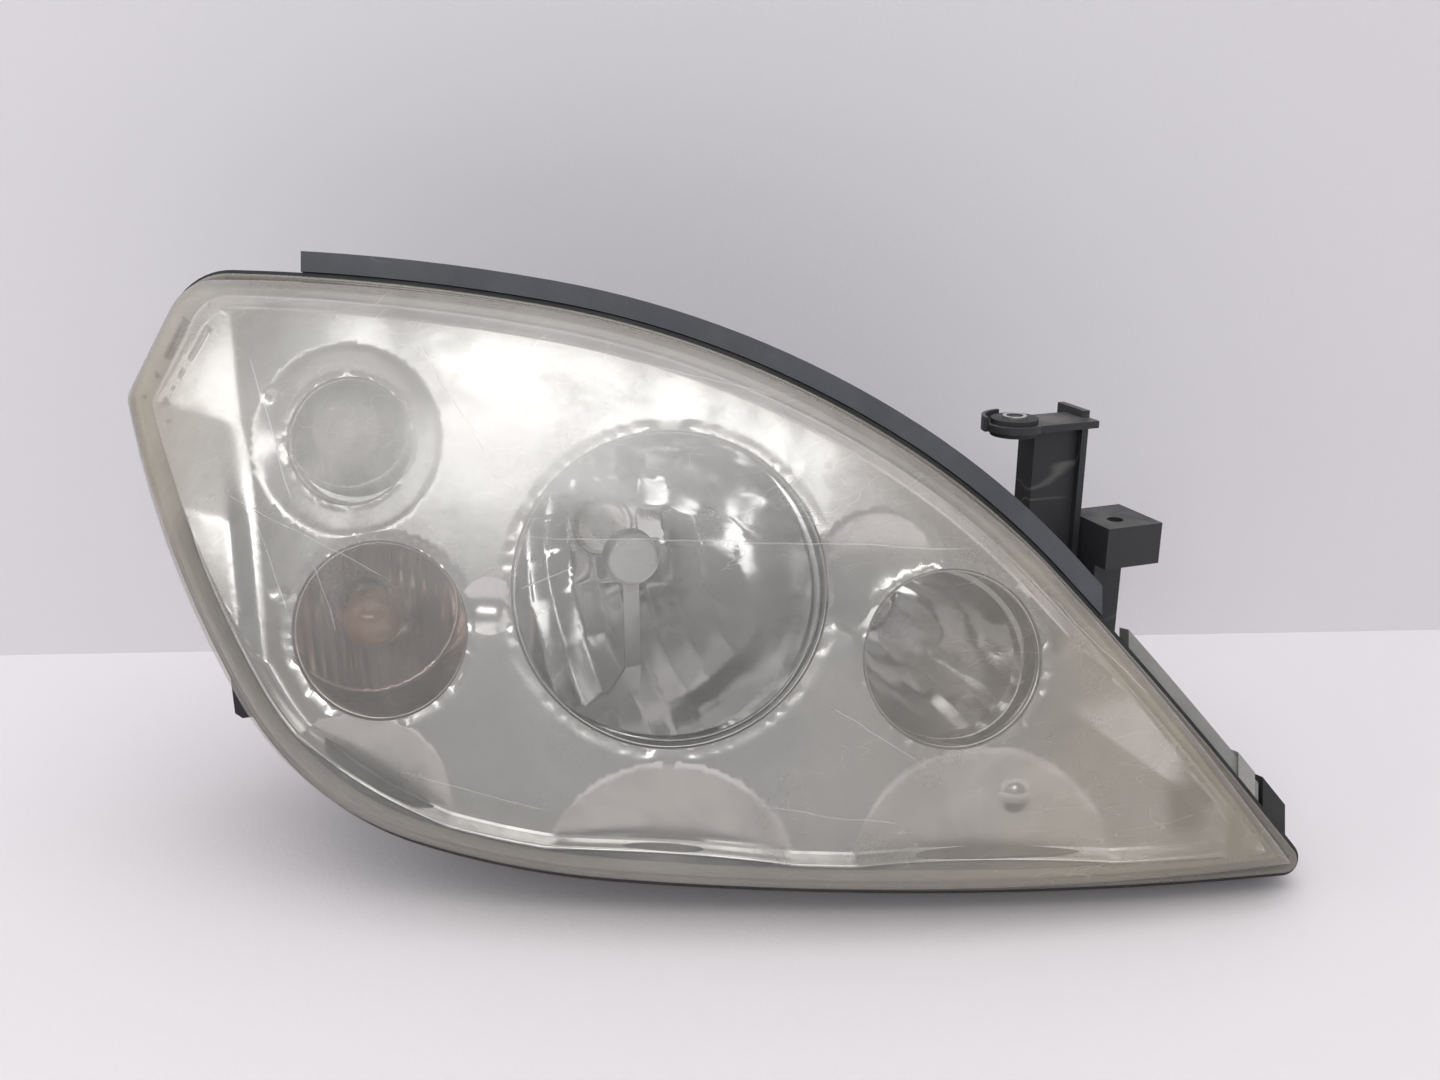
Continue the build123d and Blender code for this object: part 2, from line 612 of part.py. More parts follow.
def make_high_reflector():
    radius, thickness = HIGH_FLANGE
    seat = HIGH_BOWL[1] + NECK_LENGTH - BULB_SEAT_THICKNESS - 1
    extras = [along_y(*HIGH_AXIS, radius, seat - thickness, seat), bulb_seat(HIGH_AXIS, HIGH_BOWL)]
    body = make_reflector(HIGH_AXIS, HIGH_BOWL, extras)
    for turn in POST_TURNS:
        px = HIGH_AXIS[0] + POST_CIRCLE * cos(radians(turn))
        pz = HIGH_AXIS[1] + POST_CIRCLE * sin(radians(turn))
        body -= along_y(px, pz, SCREW_RADIUS, seat - thickness - 1, seat + 1)
    return body


def make_reflector_screws():
    length = HIGH_BOWL[1] + NECK_LENGTH - BULB_SEAT_THICKNESS - 1 - HIGH_FLANGE[1]
    back = CARRIER_Y + CARRIER_THICKNESS
    screws = []
    for px, pz in low_screw_points():
        screws.append(screw_y(px, pz, CARRIER_Y - LOW_FLANGE[1], back))
    for turn in POST_TURNS:
        px = HIGH_AXIS[0] + POST_CIRCLE * cos(radians(turn))
        pz = HIGH_AXIS[1] + POST_CIRCLE * sin(radians(turn))
        screws.append(screw_y(px, pz, length, back))
    return Compound(children=screws)


def screw_y(x, z, tip, seat):
    """Pan head screw along Y whose head sits on the face at seat."""
    head = along_y(x, z, SCREW_HEAD_RADIUS, seat, seat + SCREW_HEAD)
    head -= block(x - 2, x + 2, seat + 1, seat + SCREW_HEAD + 1, z - 0.5, z + 0.5)
    head -= block(x - 0.5, x + 0.5, seat + 1, seat + SCREW_HEAD + 1, z - 2, z + 2)
    return head + along_y(x, z, SCREW_RADIUS, tip, seat)


def make_pivot_stud():
    back = MIDDLE_CHAMBER_BACK
    stud = ball(PIVOT[0], AIM_Y, PIVOT[1], BALL_RADIUS)
    stud += along_y(*PIVOT, STEM_RADIUS, AIM_Y, back - 8)
    stud += along_y(*PIVOT, 6, back - 8, back - 5.5)
    stud += along_y(*PIVOT, 3, back - 6, back + 6)
    return stud + along_y(*PIVOT, 5.5, back, back + 4)


def make_pivot_socket():
    socket = ball(PIVOT[0], AIM_Y, PIVOT[1], BALL_RADIUS + BALL_CLEARANCE + SOCKET_WALL)
    socket -= ball(PIVOT[0], AIM_Y, PIVOT[1], BALL_RADIUS + BALL_CLEARANCE)
    socket -= along_y(*PIVOT, MOUTH_RADIUS, AIM_Y, AIM_Y + 20)
    socket -= block(PIVOT[0] - 20, PIVOT[0] + 20, AIM_Y + 5.5, AIM_Y + 20, PIVOT[1] - 20, PIVOT[1] + 20)
    return socket


def make_motor():
    x, z = MOTOR_ARM
    bx, bz = MOTOR_BODY
    y = MIDDLE_CHAMBER_BACK + MOTOR_SEAL
    motor = along_y(bx, bz, MOTOR_RADIUS, y, y + MOTOR_LENGTH)
    motor = fillet(motor.edges().sort_by(Axis.Y)[-1], 3)
    motor += along_y(x, z, MOTOR_NOSE, y - MOTOR_NOSE_LENGTH, y + 1)
    motor += along_y(bx, bz, MOTOR_RADIUS + 2.5, y, y + 4)
    ix0, ix1 = bx + 14, bx + MOTOR_RADIUS + 12
    motor += block(ix0, ix1, y + 8, y + 24, bz - 8, bz + 8)
    motor -= block(ix1 - MOTOR_INLET_DEPTH, ix1 + 1, y + 10, y + 22, bz - 6, bz + 6)
    motor -= along_y(x, z, SPINDLE_RADIUS + 0.05, y - 20, y + MOTOR_LENGTH - 6)
    return motor


def make_motor_seal():
    back = MIDDLE_CHAMBER_BACK
    return ring_y(*MOTOR_ARM, MOTOR_NOSE + 3.5, MOTOR_NOSE + 0.3, back, back + MOTOR_SEAL)


def make_spindle(point, end):
    x, z = point
    spindle = ball(x, AIM_Y, z, BALL_RADIUS) + along_y(x, z, STEM_RADIUS, AIM_Y, AIM_Y + 9)
    return spindle + along_y(x, z, SPINDLE_RADIUS, AIM_Y + 8.5, end)


def make_adjuster_bush():
    back = MIDDLE_CHAMBER_BACK
    bush = along_y(*ADJUSTER_ARM, BUSH_BODY, back - HOUSING_WALL - 6, back)
    bush += along_y(*ADJUSTER_ARM, BUSH_BODY + 2, back, back + 2)
    return bush - along_y(*ADJUSTER_ARM, GEAR_HUB + 0.05, back - 30, back + 30)


def make_adjuster_gear():
    back = MIDDLE_CHAMBER_BACK
    gear = along_y(*ADJUSTER_ARM, GEAR_HUB, back - HOUSING_WALL - 6, back + 3)
    gear += along_y(*ADJUSTER_ARM, GEAR_RADIUS, back + 2.3, back + 8)
    x, z = ADJUSTER_ARM
    for tooth in range(GEAR_TEETH):
        turn = 360 / GEAR_TEETH * tooth
        notch = Pos(GEAR_RADIUS, 0, 0) * Cylinder(1.1, 12)
        gear -= (Pos(FX + x, FY + back + 5, FZ + z) * Rot(90, 0, 0) * Rot(0, 0, turn)) * notch
    return gear - along_y(x, z, SPINDLE_RADIUS + 0.05, back - 30, back + 30)


# ---------------------------------------------------------------- rear closures
def make_cover(axis, collar, back):
    outer = collar + COLLAR_WALL + LUG_REACH + COVER_CLEARANCE
    wall = COVER_WALL
    seat = back + COLLAR_LENGTH + SEAL_THICKNESS
    dome = collar - 7
    top = seat + COVER_DOME
    profile = [(outer + wall, back + 1.5), (outer + wall, seat + wall), (dome + 2, seat + wall),
               (dome, top), (0, top), (0, top - wall), (dome - wall, top - wall), (dome - wall + 2, seat),
               (outer, seat), (outer, back + 1.5)]
    cover = turned(profile, *axis)
    x, z = axis
    for turn in (0, 120, 240):
        hook = Pos(outer - 0.9, 0, 0) * Box(3.6, 1.6, 8)
        cover += Pos(FX + x, FY + back + 2.3, FZ + z) * Rot(0, turn, 0) * hook
    cover += block(x - dome + 6, x + dome - 6, top - 0.5, top + 7, z - 3, z + 3)
    for turn in range(0, 360, 20):
        rib = Pos(outer + wall, 0, 0) * Box(1.6, seat - back - 2, 3)
        cover += Pos(FX + x, FY + (seat + back) / 2 + 1.5, FZ + z) * Rot(0, turn, 0) * rib
    return cover


def make_cover_seal(axis, collar, back):
    seat = back + COLLAR_LENGTH
    return ring_y(*axis, collar + COLLAR_WALL + 1, collar - 0.5, seat, seat + SEAL_THICKNESS)


def make_socket(axis, radius, front, bore, bore_depth, grip):
    x, z = axis
    back = OUTER_CHAMBER_BACK + 4
    socket = along_y(x, z, radius - SOCKET_CLEARANCE, front, back + 1)
    socket += along_y(x, z, radius + 4, back + 0.3, back + 3)
    socket += along_y(x, z, grip, back + 2, back + 14)
    socket += block(x - radius - 2, x + radius + 2, back + 3, back + 9, z - 2, z + 2)
    socket -= along_y(x, z, bore, front - 1, front + bore_depth)
    return socket - block(x - 5, x + 5, back + 6, back + 20, z - 3.5, z + 3.5)


def make_turn_glass():
    x, z = TURN_AXIS
    glass = ball(x, TURN_BALL_Y, z, TURN_BALL)
    return glass + along_y(x, z, TURN_BASE - 0.6, TURN_BALL_Y, TURN_BASE_Y)


def make_turn_base():
    x, z = TURN_AXIS
    base = along_y(x, z, TURN_BASE, TURN_BASE_Y, TURN_SOCKET_FRONT + 12)
    return fillet(base.edges().sort_by(Axis.Y)[-1], 1)


def make_position_bulb():
    x, z = POSITION_AXIS
    bulb = ball(x, POSITION_BULB_Y, z, 5) + along_y(x, z, 5, POSITION_BULB_Y, POSITION_SOCKET_FRONT + 1)
    return bulb + block(x - 4.7, x + 4.7, POSITION_SOCKET_FRONT, POSITION_SOCKET_FRONT + 6, z - 1.3, z + 1.3)


def make_inner_lens():
    """Fluted cup over the position bulb, standing on its reflector."""
    x, z = POSITION_AXIS
    foot = POSITION_BOWL[1] - INNER_LENS**2 / (4 * POSITION_BOWL[0]) - 0.3
    cup = along_y(x, z, INNER_LENS, INNER_LENS_FRONT, foot)
    cup = fillet(cup.edges().sort_by(Axis.Y)[0], 3)
    for turn in range(0, 360, 15):
        flute = Pos(FX + x, FY + (INNER_LENS_FRONT + foot) / 2, FZ + z) * Rot(0, turn, 0)
        cup -= flute * Pos(INNER_LENS + 0.4, 0, 0) * Rot(90, 0, 0) * Cylinder(0.9, 60)
    return cup - along_y(x, z, INNER_LENS - 2.2, INNER_LENS_FRONT + 2, foot + 1)


# ---------------------------------------------------------------- mounting
def on_tub(x0, x1, y0, y1, thickness):
    """A pad that follows the outside of the tub."""
    pad = tub(TUB_INSET - thickness) & block(x0, x1, y0, y1, -120, 90)
    return pad - tub(TUB_INSET)


def make_upper_bracket():
    x, y, z = BRACKET_HOLE
    web_x = x + 10.5
    right = web_x + BRACKET_WIDTH
    t = BRACKET_THICKNESS
    bracket = block(web_x, right, y, y + t, -110, z)
    bracket += block(web_x, web_x + t, y, y + 12, -110, z)
    bracket += block(right - t, right, y - 3, y + 16, -110, z + 3)
    bracket -= tub(TUB_INSET)
    bracket += on_tub(web_x, right, y - 14, y + 22, t)
    bracket += block(x, right, y - 10, y + 10, z - t, z) + hole_z(x, y, 12, z - t, z)
    lip = hole_z(x, y, 13.5, z - t, z + 3) - hole_z(x, y, 12, z, z + 4)
    lip &= block(x - 20, x, y, y + 20, -110, 90)
    bracket += lip
    bracket -= hole_z(x, y, BUSH_NECK, z - t - 1, z + 4)
    for point in BRACKET_SCREWS[:2]:
        bracket -= roof_bar(*point, SCREW_RADIUS, 30)
    return bracket


def roof_frame(x, y):
    """Place on the outside of the tub above a point, turned square to its slope."""
    heights = []
    for side in (-ROOF_PROBE, ROOF_PROBE):
        thin = block(x + side - 0.01, x + side + 0.01, y - 0.01, y + 0.01, -110, 100)
        heights.append((tub(TUB_INSET) & thin).bounding_box().max.Z)
    tilt = degrees(atan2(heights[0] - heights[1], 2 * ROOF_PROBE))
    return Pos(FX + x, FY + y, (heights[0] + heights[1]) / 2) * Rot(0, tilt, 0)


def roof_bar(x, y, radius, length):
    return roof_frame(x, y) * Cylinder(radius, length)


def make_bracket_screws():
    screws = []
    for (x, y), foot in zip(BRACKET_SCREWS, BRACKET_FEET):
        head = Pos(0, 0, foot + SCREW_HEAD / 2 + 0.1) * Cylinder(SCREW_HEAD_RADIUS, SCREW_HEAD)
        slot = Pos(0, 0, foot + SCREW_HEAD) * (Box(4, 1, 2.6) + Box(1, 4, 2.6))
        shank = Pos(0, 0, (foot + 0.2 - 8) / 2) * Cylinder(SCREW_RADIUS - 0.02, foot + 0.2 + 8)
        screws.append(roof_frame(x, y) * (head - slot + shank))
    return Compound(children=screws)


def make_bush():
    x, y, z = BRACKET_HOLE
    t = BRACKET_THICKNESS
    bush = hole_z(x, y, BUSH_DIAMETER / 2, z, z + 2) + hole_z(x, y, BUSH_NECK, z - t, z)
    bush += hole_z(x, y, BUSH_DIAMETER / 2, z - t - 2, z - t)
    return bush - hole_z(x, y, BUSH_SLEEVE_DIAMETER / 2, z - 20, z + 20)


def make_sleeve():
    x, y, z = BRACKET_HOLE
    middle = z - BRACKET_THICKNESS / 2
    half = BUSH_SLEEVE_LENGTH / 2
    sleeve = hole_z(x, y, BUSH_SLEEVE_DIAMETER / 2, middle - half, middle + half)
    return sleeve - hole_z(x, y, BUSH_BORE / 2, middle - 20, middle + 20)


def make_box_tab():
    x, y = TAB_HOLE
    top, wall = TAB_TOP, 2.5
    left, right = x - 11, x + 16
    tab = block(left, right, y - 15, y + 15, top - 18, top)
    tab -= block(left + wall, right - wall, y - 15 + wall, y + 16, top - 19, top - wall)
    tab += block(left, right - 4, y + 4, y + 4 + wall, -120, top - 1)
    tab += block(left, left + wall, y - 8, y + 12, -120, top - 1)
    tab -= tub(TUB_INSET)
    tab += on_tub(left, right - 4, y - 10, y + 24, wall)
    tab -= hole_z(x, y - 4, TAB_HOLE_DIAMETER / 2, top - 5, top + 2)
    return tab - roof_bar(*BRACKET_SCREWS[2], SCREW_RADIUS, 30)


def in_face(u0, u1, v0, v1):
    return Pos((u0 + u1) / 2, (v0 + v1) / 2, -20) * Box(u1 - u0, v1 - v0, 200)


def make_weatherstrip():
    inner = RIM_OVERHANG + 0.3
    strip = (prism(-inner - STRIP_HEIGHT) - prism(-inner)) & behind(STRIP_DEPTH)
    strip = (strip - behind(STRIP_DEPTH + STRIP_WIDTH)) & in_face(*STRIP_RANGE, -45, 140)
    return placed(strip)


def make_edge_strip():
    inner = RIM_OVERHANG + 0.3
    strip = (prism(-inner - EDGE_STRIP_HEIGHT) - prism(-inner)) & behind(7)
    return placed((strip - behind(19)) & in_face(*EDGE_STRIP_RANGE, -125, 0))


def make_spring_clip():
    inner = RIM_OVERHANG + 0.3
    reach = inner + EDGE_STRIP_HEIGHT + 0.3
    outside = (prism(-reach - 1) & behind(5.6)) - behind(20.4)
    inside = (prism(-reach) & behind(6.7)) - behind(19.3)
    clip = outside - inside - prism(-inner)
    return placed(clip & in_face(EDGE_STRIP_RANGE[1] - 9, EDGE_STRIP_RANGE[1] - 2, -125, 0))


def make_outer_tab():
    """Flat tab screwed to the back of the outer chamber."""
    corners = [(-149, -28), (-172, -28), (-186, -66), (-186, -104), (-183, -107), (-168, -107),
               (-149, -80)]
    points = [(FX + x, FZ + z) for x, z in corners]
    face = Plane.XZ * make_face(Polyline(*points, close=True))
    back = OUTER_CHAMBER_BACK
    tab = Pos(0, FY + back, 0) * extrude(face, -OUTER_TAB_THICKNESS)
    x, z = OUTER_TAB_HOLE
    tab -= along_y(x, z, OUTER_TAB_HOLE_DIAMETER / 2, back - 5, back + 20)
    for sx, sz in OUTER_TAB_SCREWS:
        tab -= along_y(sx, sz, SCREW_RADIUS, back - 5, back + 20)
    return tab


def make_tab_screws():
    back = OUTER_CHAMBER_BACK
    screws = [screw_y(sx, sz, back - 8, back + OUTER_TAB_THICKNESS) for sx, sz in OUTER_TAB_SCREWS]
    return Compound(children=screws)


def make_connector():
    x, z = CONNECTOR
    back = MIDDLE_CHAMBER_BACK
    width, height, length, wall = CONNECTOR_SHELL
    shell = block(x - width / 2, x + width / 2, back - 6, back + length, z - height / 2, z + height / 2)
    shell += block(x - width / 2 - 3, x + width / 2 + 3, back, back + 2.5, z - height / 2 - 2,
                   z + height / 2 + 2)
    shell += block(x - 4, x + 4, back + 4, back + length - 2, z + height / 2 - 1, z + height / 2 + 2.5)
    shell -= block(x - width / 2 + wall, x + width / 2 - wall, back + 2, back + length + 1,
                   z - height / 2 + wall, z + height / 2 - wall)
    for pin in pin_places():
        shell -= along_y(*pin, PIN_RADIUS, back - 10, back + 10)
    return shell


def pin_places():
    x, z = CONNECTOR
    return [(x + column * 4.5, z + row * 2.5) for column in (-2, -1, 0, 1, 2) for row in (-1, 1)]


def make_pins():
    back = MIDDLE_CHAMBER_BACK
    pins = [along_y(px, pz, PIN_RADIUS, back - 9, back + PIN_REACH) for px, pz in pin_places()]
    return Compound(children=pins)


def make_vent_cap():
    back = OUTER_CHAMBER_BACK
    cap = along_y(*VENT, 8, back + 2, back + 13)
    cap = fillet(cap.edges().sort_by(Axis.Y)[-1], 2.5)
    return cap - along_y(*VENT, VENT_SPIGOT + 0.05, back, back + 9)


def low_seat():
    return LOW_BOWL[1] + NECK_LENGTH


def high_seat():
    return HIGH_BOWL[1] + NECK_LENGTH


PARTS = {
    "housing": make_housing,
    "lens": make_lens,
    "lens_sealant": make_sealant,
    "bezel": make_bezel,
    "weatherstrip": make_weatherstrip,
    "edge_strip": make_edge_strip,
    "spring_clip": make_spring_clip,
    "upper_bracket": make_upper_bracket,
    "bracket_bush": make_bush,
    "bracket_sleeve": make_sleeve,
    "box_tab": make_box_tab,
    "bracket_screws": make_bracket_screws,
    "outer_tab": make_outer_tab,
    "outer_tab_screws": make_tab_screws,
    "low_beam_reflector": make_low_reflector,
    "high_beam_reflector": make_high_reflector,
    "turn_reflector": lambda: make_reflector(TURN_AXIS, TURN_BOWL, []),
    "position_reflector": lambda: make_reflector(POSITION_AXIS, POSITION_BOWL, []),
    "position_inner_lens": make_inner_lens,
    "reflector_carrier": make_carrier,
    "reflector_screws": make_reflector_screws,
    "bulb_shield": make_shield,
    "low_bulb_glass": lambda: make_bulb_glass(LOW_AXIS, low_seat(), BEAM_GLASS[1], BEAM_GLASS[0]),
    "low_bulb_base": lambda: make_bulb_base(LOW_AXIS, low_seat(), LOW_BOWL[4]),
    "low_bulb_clip": lambda: make_clip(LOW_AXIS, LOW_BOWL),
    "low_bulb_plug": lambda: make_bulb_plug(LOW_AXIS, low_seat()),
    "high_bulb_glass": lambda: make_bulb_glass(HIGH_AXIS, high_seat(), BEAM_GLASS[1], BEAM_GLASS[0]),
    "high_bulb_base": lambda: make_bulb_base(HIGH_AXIS, high_seat(), HIGH_BOWL[4]),
    "high_bulb_clip": lambda: make_clip(HIGH_AXIS, HIGH_BOWL),
    "high_bulb_plug": lambda: make_bulb_plug(HIGH_AXIS, high_seat()),
    "turn_bulb_glass": make_turn_glass,
    "turn_bulb_base": make_turn_base,
    "turn_socket": lambda: make_socket(TURN_AXIS, TURN_SOCKET_RADIUS, TURN_SOCKET_FRONT, TURN_BASE, 12, 12),
    "position_bulb": make_position_bulb,
    "position_socket": lambda: make_socket(POSITION_AXIS, POSITION_SOCKET_RADIUS, POSITION_SOCKET_FRONT,
                                           5, 6, 9),
    "pivot_stud": make_pivot_stud,
    "pivot_socket": make_pivot_socket,
    "levelling_motor": make_motor,
    "motor_seal": make_motor_seal,
    "motor_spindle": lambda: make_spindle(MOTOR_ARM, MIDDLE_CHAMBER_BACK + 16),
    "adjuster_bush": make_adjuster_bush,
    "adjuster_gear": make_adjuster_gear,
    "adjuster_spindle": lambda: make_spindle(ADJUSTER_ARM, MIDDLE_CHAMBER_BACK + 20),
    "low_cover": lambda: make_cover(LOW_AXIS, LOW_COLLAR, MIDDLE_CHAMBER_BACK),
    "low_cover_seal": lambda: make_cover_seal(LOW_AXIS, LOW_COLLAR, MIDDLE_CHAMBER_BACK),
    "high_cover": lambda: make_cover(HIGH_AXIS, HIGH_COLLAR, INNER_CHAMBER_BACK),
    "high_cover_seal": lambda: make_cover_seal(HIGH_AXIS, HIGH_COLLAR, INNER_CHAMBER_BACK),
    "electrical_inlet": make_connector,
    "inlet_pins": make_pins,
    "vent_cap": make_vent_cap,
}

for node, maker in PARTS.items():
    save(node, maker())
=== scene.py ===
import math
import random

import bpy
import bmesh
import numpy as np
from mathutils import Matrix, Vector
from mathutils.geometry import delaunay_2d_cdt


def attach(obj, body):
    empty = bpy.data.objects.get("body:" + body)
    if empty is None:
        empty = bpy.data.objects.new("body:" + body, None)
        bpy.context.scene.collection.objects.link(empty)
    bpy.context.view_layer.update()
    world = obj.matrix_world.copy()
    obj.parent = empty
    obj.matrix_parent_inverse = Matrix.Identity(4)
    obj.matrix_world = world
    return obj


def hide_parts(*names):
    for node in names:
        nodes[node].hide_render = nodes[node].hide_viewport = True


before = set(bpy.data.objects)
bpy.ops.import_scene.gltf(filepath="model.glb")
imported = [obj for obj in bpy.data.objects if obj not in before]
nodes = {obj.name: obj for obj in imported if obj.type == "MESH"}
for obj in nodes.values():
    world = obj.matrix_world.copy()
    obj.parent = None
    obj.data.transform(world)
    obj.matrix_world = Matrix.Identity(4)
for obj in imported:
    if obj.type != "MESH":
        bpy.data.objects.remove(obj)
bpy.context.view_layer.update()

MM = 0.001

# ------------------------------------------------------------ the lamp's face
# The face is a plane swept back to -X and raked back at the top. Places on it are u, v in
# millimetres from its centre, and w stands out of it towards the front.
SWEEP = math.radians(20)
RAKE = math.radians(18)
FACE_CENTRE = Vector((-3.0, -19.5, 140.23))
ACROSS = Vector((math.cos(SWEEP), -math.sin(SWEEP), 0))
OUT = Vector((-math.sin(SWEEP) * math.cos(RAKE), -math.cos(SWEEP) * math.cos(RAKE), math.sin(RAKE)))
UP = OUT.cross(ACROSS)

# Leaf outline: two corners, a straight lead from each and arcs (radius, degrees) to the tip.
TOP_CORNER, TOP_HEADING, TOP_LEAD = (-209.5, 106.0), -3.0, 22.5
LEFT_CORNER, LEFT_HEADING, LEFT_LEAD = (-235.5, 56.0), -75.0, 13.7
TOP_ARCS = ((930, 7.5), (390, 22), (310, 14.5), (2300, 3.5))
BOTTOM_ARCS = ((414, 16), (121, 43), (368, 12), (2070, 7.3))
CORNER_RADII = (25.0, 14.0, 5.0)
OUTLINE_STEP = 2.0
ARC_POINTS = 12

PARTING_RADIUS = 1600.0
DOME_RADIUS = 900.0
DOME_CROWN = 34.0
LENS_WALL = 3.0
FLANGE = 4.0
WALL_FOOT, WALL_TOP = 4.0, 4.8
ROLL = 9.0
INNER_FOOT, INNER_TOP, INNER_ROLL = 7.0, 7.8, 6.0

BEZEL_EDGE = 9.0
BEZEL_DEPTH = 10.0


def on_face(u, v, w):
    """Place on the face in metres in the row frame."""
    return (FACE_CENTRE + ACROSS * u + UP * v + OUT * w) * MM


def off_face(x, y, z):
    return (FACE_CENTRE + Vector((x, y, z))) * MM


def arc_chain(start, heading, lead, arcs, turn):
    """Points along a straight lead and tangent arcs, and the heading at the end."""
    p, angle = Vector(start), math.radians(heading)
    way = Vector((math.cos(angle), math.sin(angle)))
    points = [p.copy()]
    p = p + way * lead
    points.append(p.copy())
    for radius, degrees in arcs:
        count = max(2, round(radius * math.radians(degrees) / OUTLINE_STEP))
        step = turn * math.radians(degrees) / count
        for _ in range(count):
            p = p + Vector((math.cos(angle + step / 2), math.sin(angle + step / 2))) * (radius * abs(step))
            angle += step
            points.append(p.copy())
    return points, Vector((math.cos(angle), math.sin(angle)))


def rounded(points, corner, radius):
    """The closed line with one of its corners rounded."""
    k = min(range(len(points)), key=lambda i: (points[i] - Vector(corner)).length)
    p, *others = points[k:] + points[:k]
    d1, d2 = (p - others[-1]).normalized(), (others[0] - p).normalized()
    turn = math.atan2(d1.cross(d2), d1.dot(d2))
    reach = radius * math.tan(abs(turn) / 2)
    a = p - d1 * reach
    centre = a + Vector((-d1.y, d1.x)) * math.copysign(radius, turn)
    spoke = a - centre
    arc = []
    for i in range(ARC_POINTS + 1):
        c, s = math.cos(turn * i / ARC_POINTS), math.sin(turn * i / ARC_POINTS)
        arc.append(centre + Vector((spoke.x * c - spoke.y * s, spoke.x * s + spoke.y * c)))
    return arc + [q for q in others if (q - p).length > reach + 0.3]


def evenly(points, step):
    """A closed line cut into equal steps."""
    p = np.array([tuple(q) for q in points])
    p = np.vstack([p, p[:1]])
    along = np.concatenate([[0], np.cumsum(np.linalg.norm(np.diff(p, axis=0), axis=1))])
    count = int(along[-1] / step)
    at = np.linspace(0, along[-1], count, endpoint=False)
    return np.column_stack([np.interp(at, along, p[:, 0]), np.interp(at, along, p[:, 1])])


def leaf_outline():
    top, top_way = arc_chain(TOP_CORNER, TOP_HEADING, TOP_LEAD, TOP_ARCS, -1)
    low, low_way = arc_chain(LEFT_CORNER, LEFT_HEADING, LEFT_LEAD, BOTTOM_ARCS, 1)
    a, b = top[-1], low[-1]
    tip = a + top_way * ((b - a).cross(low_way) / top_way.cross(low_way))
    points = low + [tip] + top[::-1]
    for corner, radius in zip((TOP_CORNER, LEFT_CORNER, tip), CORNER_RADII):
        points = rounded(points, corner, radius)
    return evenly(points, OUTLINE_STEP)


LEAF = leaf_outline()
LEAF_NEXT = np.roll(LEAF, -1, axis=0)
LEAF_WAY = (LEAF_NEXT - LEAF) / np.linalg.norm(LEAF_NEXT - LEAF, axis=1)[:, None]
LEAF_TURN = LEAF_WAY + np.roll(LEAF_WAY, 1, axis=0)
LEAF_TURN /= np.linalg.norm(LEAF_TURN, axis=1)[:, None]
LEAF_IN = np.column_stack([-LEAF_TURN[:, 1], LEAF_TURN[:, 0]])


def depth_in(points):
    """How far inside the leaf each point lies."""
    points = np.atleast_2d(points)
    best = np.full(len(points), 1e9)
    for k in range(0, len(points), 2000):
        part = points[k:k + 2000]
        rel = part[:, None, :] - LEAF[None]
        length = np.linalg.norm(LEAF_NEXT - LEAF, axis=1)
        t = np.clip((rel * LEAF_WAY[None]).sum(2), 0, length[None])
        near = LEAF[None] + LEAF_WAY[None] * t[:, :, None]
        best[k:k + 2000] = np.linalg.norm(part[:, None, :] - near, axis=2).min(1)
    return best


def inside_leaf(points):
    cross = (LEAF_WAY[None, :, 0] * (points[:, None, 1] - LEAF[None, :, 1])
             - LEAF_WAY[None, :, 1] * (points[:, None, 0] - LEAF[None, :, 0]))
    return cross.min(1) > -0.6


def ring(inset):
    """The outline moved in, one point for each of its own; crowded ones meet at the nearest free one."""
    moved = LEAF + LEAF_IN * inset
    if inset <= 0:
        return moved
    free = depth_in(moved) >= inset - 0.03
    good = np.where(free)[0]
    for i in np.where(~free)[0]:
        gap = np.minimum((good - i) % len(LEAF), (i - good) % len(LEAF))
        moved[i] = moved[good[gap.argmin()]]
    return moved


def parting(u):
    return np.sqrt(PARTING_RADIUS**2 - u * u) - PARTING_RADIUS


def dome(u, v, radius=DOME_RADIUS):
    return np.sqrt(radius**2 - u * u - v * v) + DOME_CROWN - DOME_RADIUS


# ------------------------------------------------------------ meshes
MERGE_DISTANCE = 2e-6
SLIVER_WIDTH = 1e-7


def placed(name, mesh):
    """A new object for a mesh, in the scene."""
    piece = bpy.data.objects.new(name, mesh)
    bpy.context.scene.collection.objects.link(piece)
    return piece


def cleaned(mesh):
    """Merges doubled points and drops flat slivers."""
    bm = bmesh.new()
    bm.from_mesh(mesh)
    bmesh.ops.remove_doubles(bm, verts=bm.verts, dist=MERGE_DISTANCE)
    bmesh.ops.dissolve_degenerate(bm, edges=bm.edges, dist=SLIVER_WIDTH)
    bm.to_mesh(mesh)
    bm.free()


def finished(name, verts, faces, material):
    """A named smooth piece from points in metres."""
    mesh = bpy.data.meshes.new(name)
    mesh.from_pydata([tuple(p) for p in verts], [], faces)
    mesh.materials.append(material)
    cleaned(mesh)
    mesh.polygons.foreach_set("use_smooth", [True] * len(mesh.polygons))
    return placed(name, mesh)


def crisp(piece, degrees):
    """Edges sharper than this stay sharp in shading."""
    piece.data.set_sharp_from_angle(angle=math.radians(degrees))
    return piece


def hex_grid(low, high, step):
    rows = []
    for k, v in enumerate(np.arange(low[1], high[1], step * 0.866)):
        for u in np.arange(low[0] + (step / 2 if k % 2 else 0), high[0], step):
            rows.append((u, v))
    return np.array(rows)


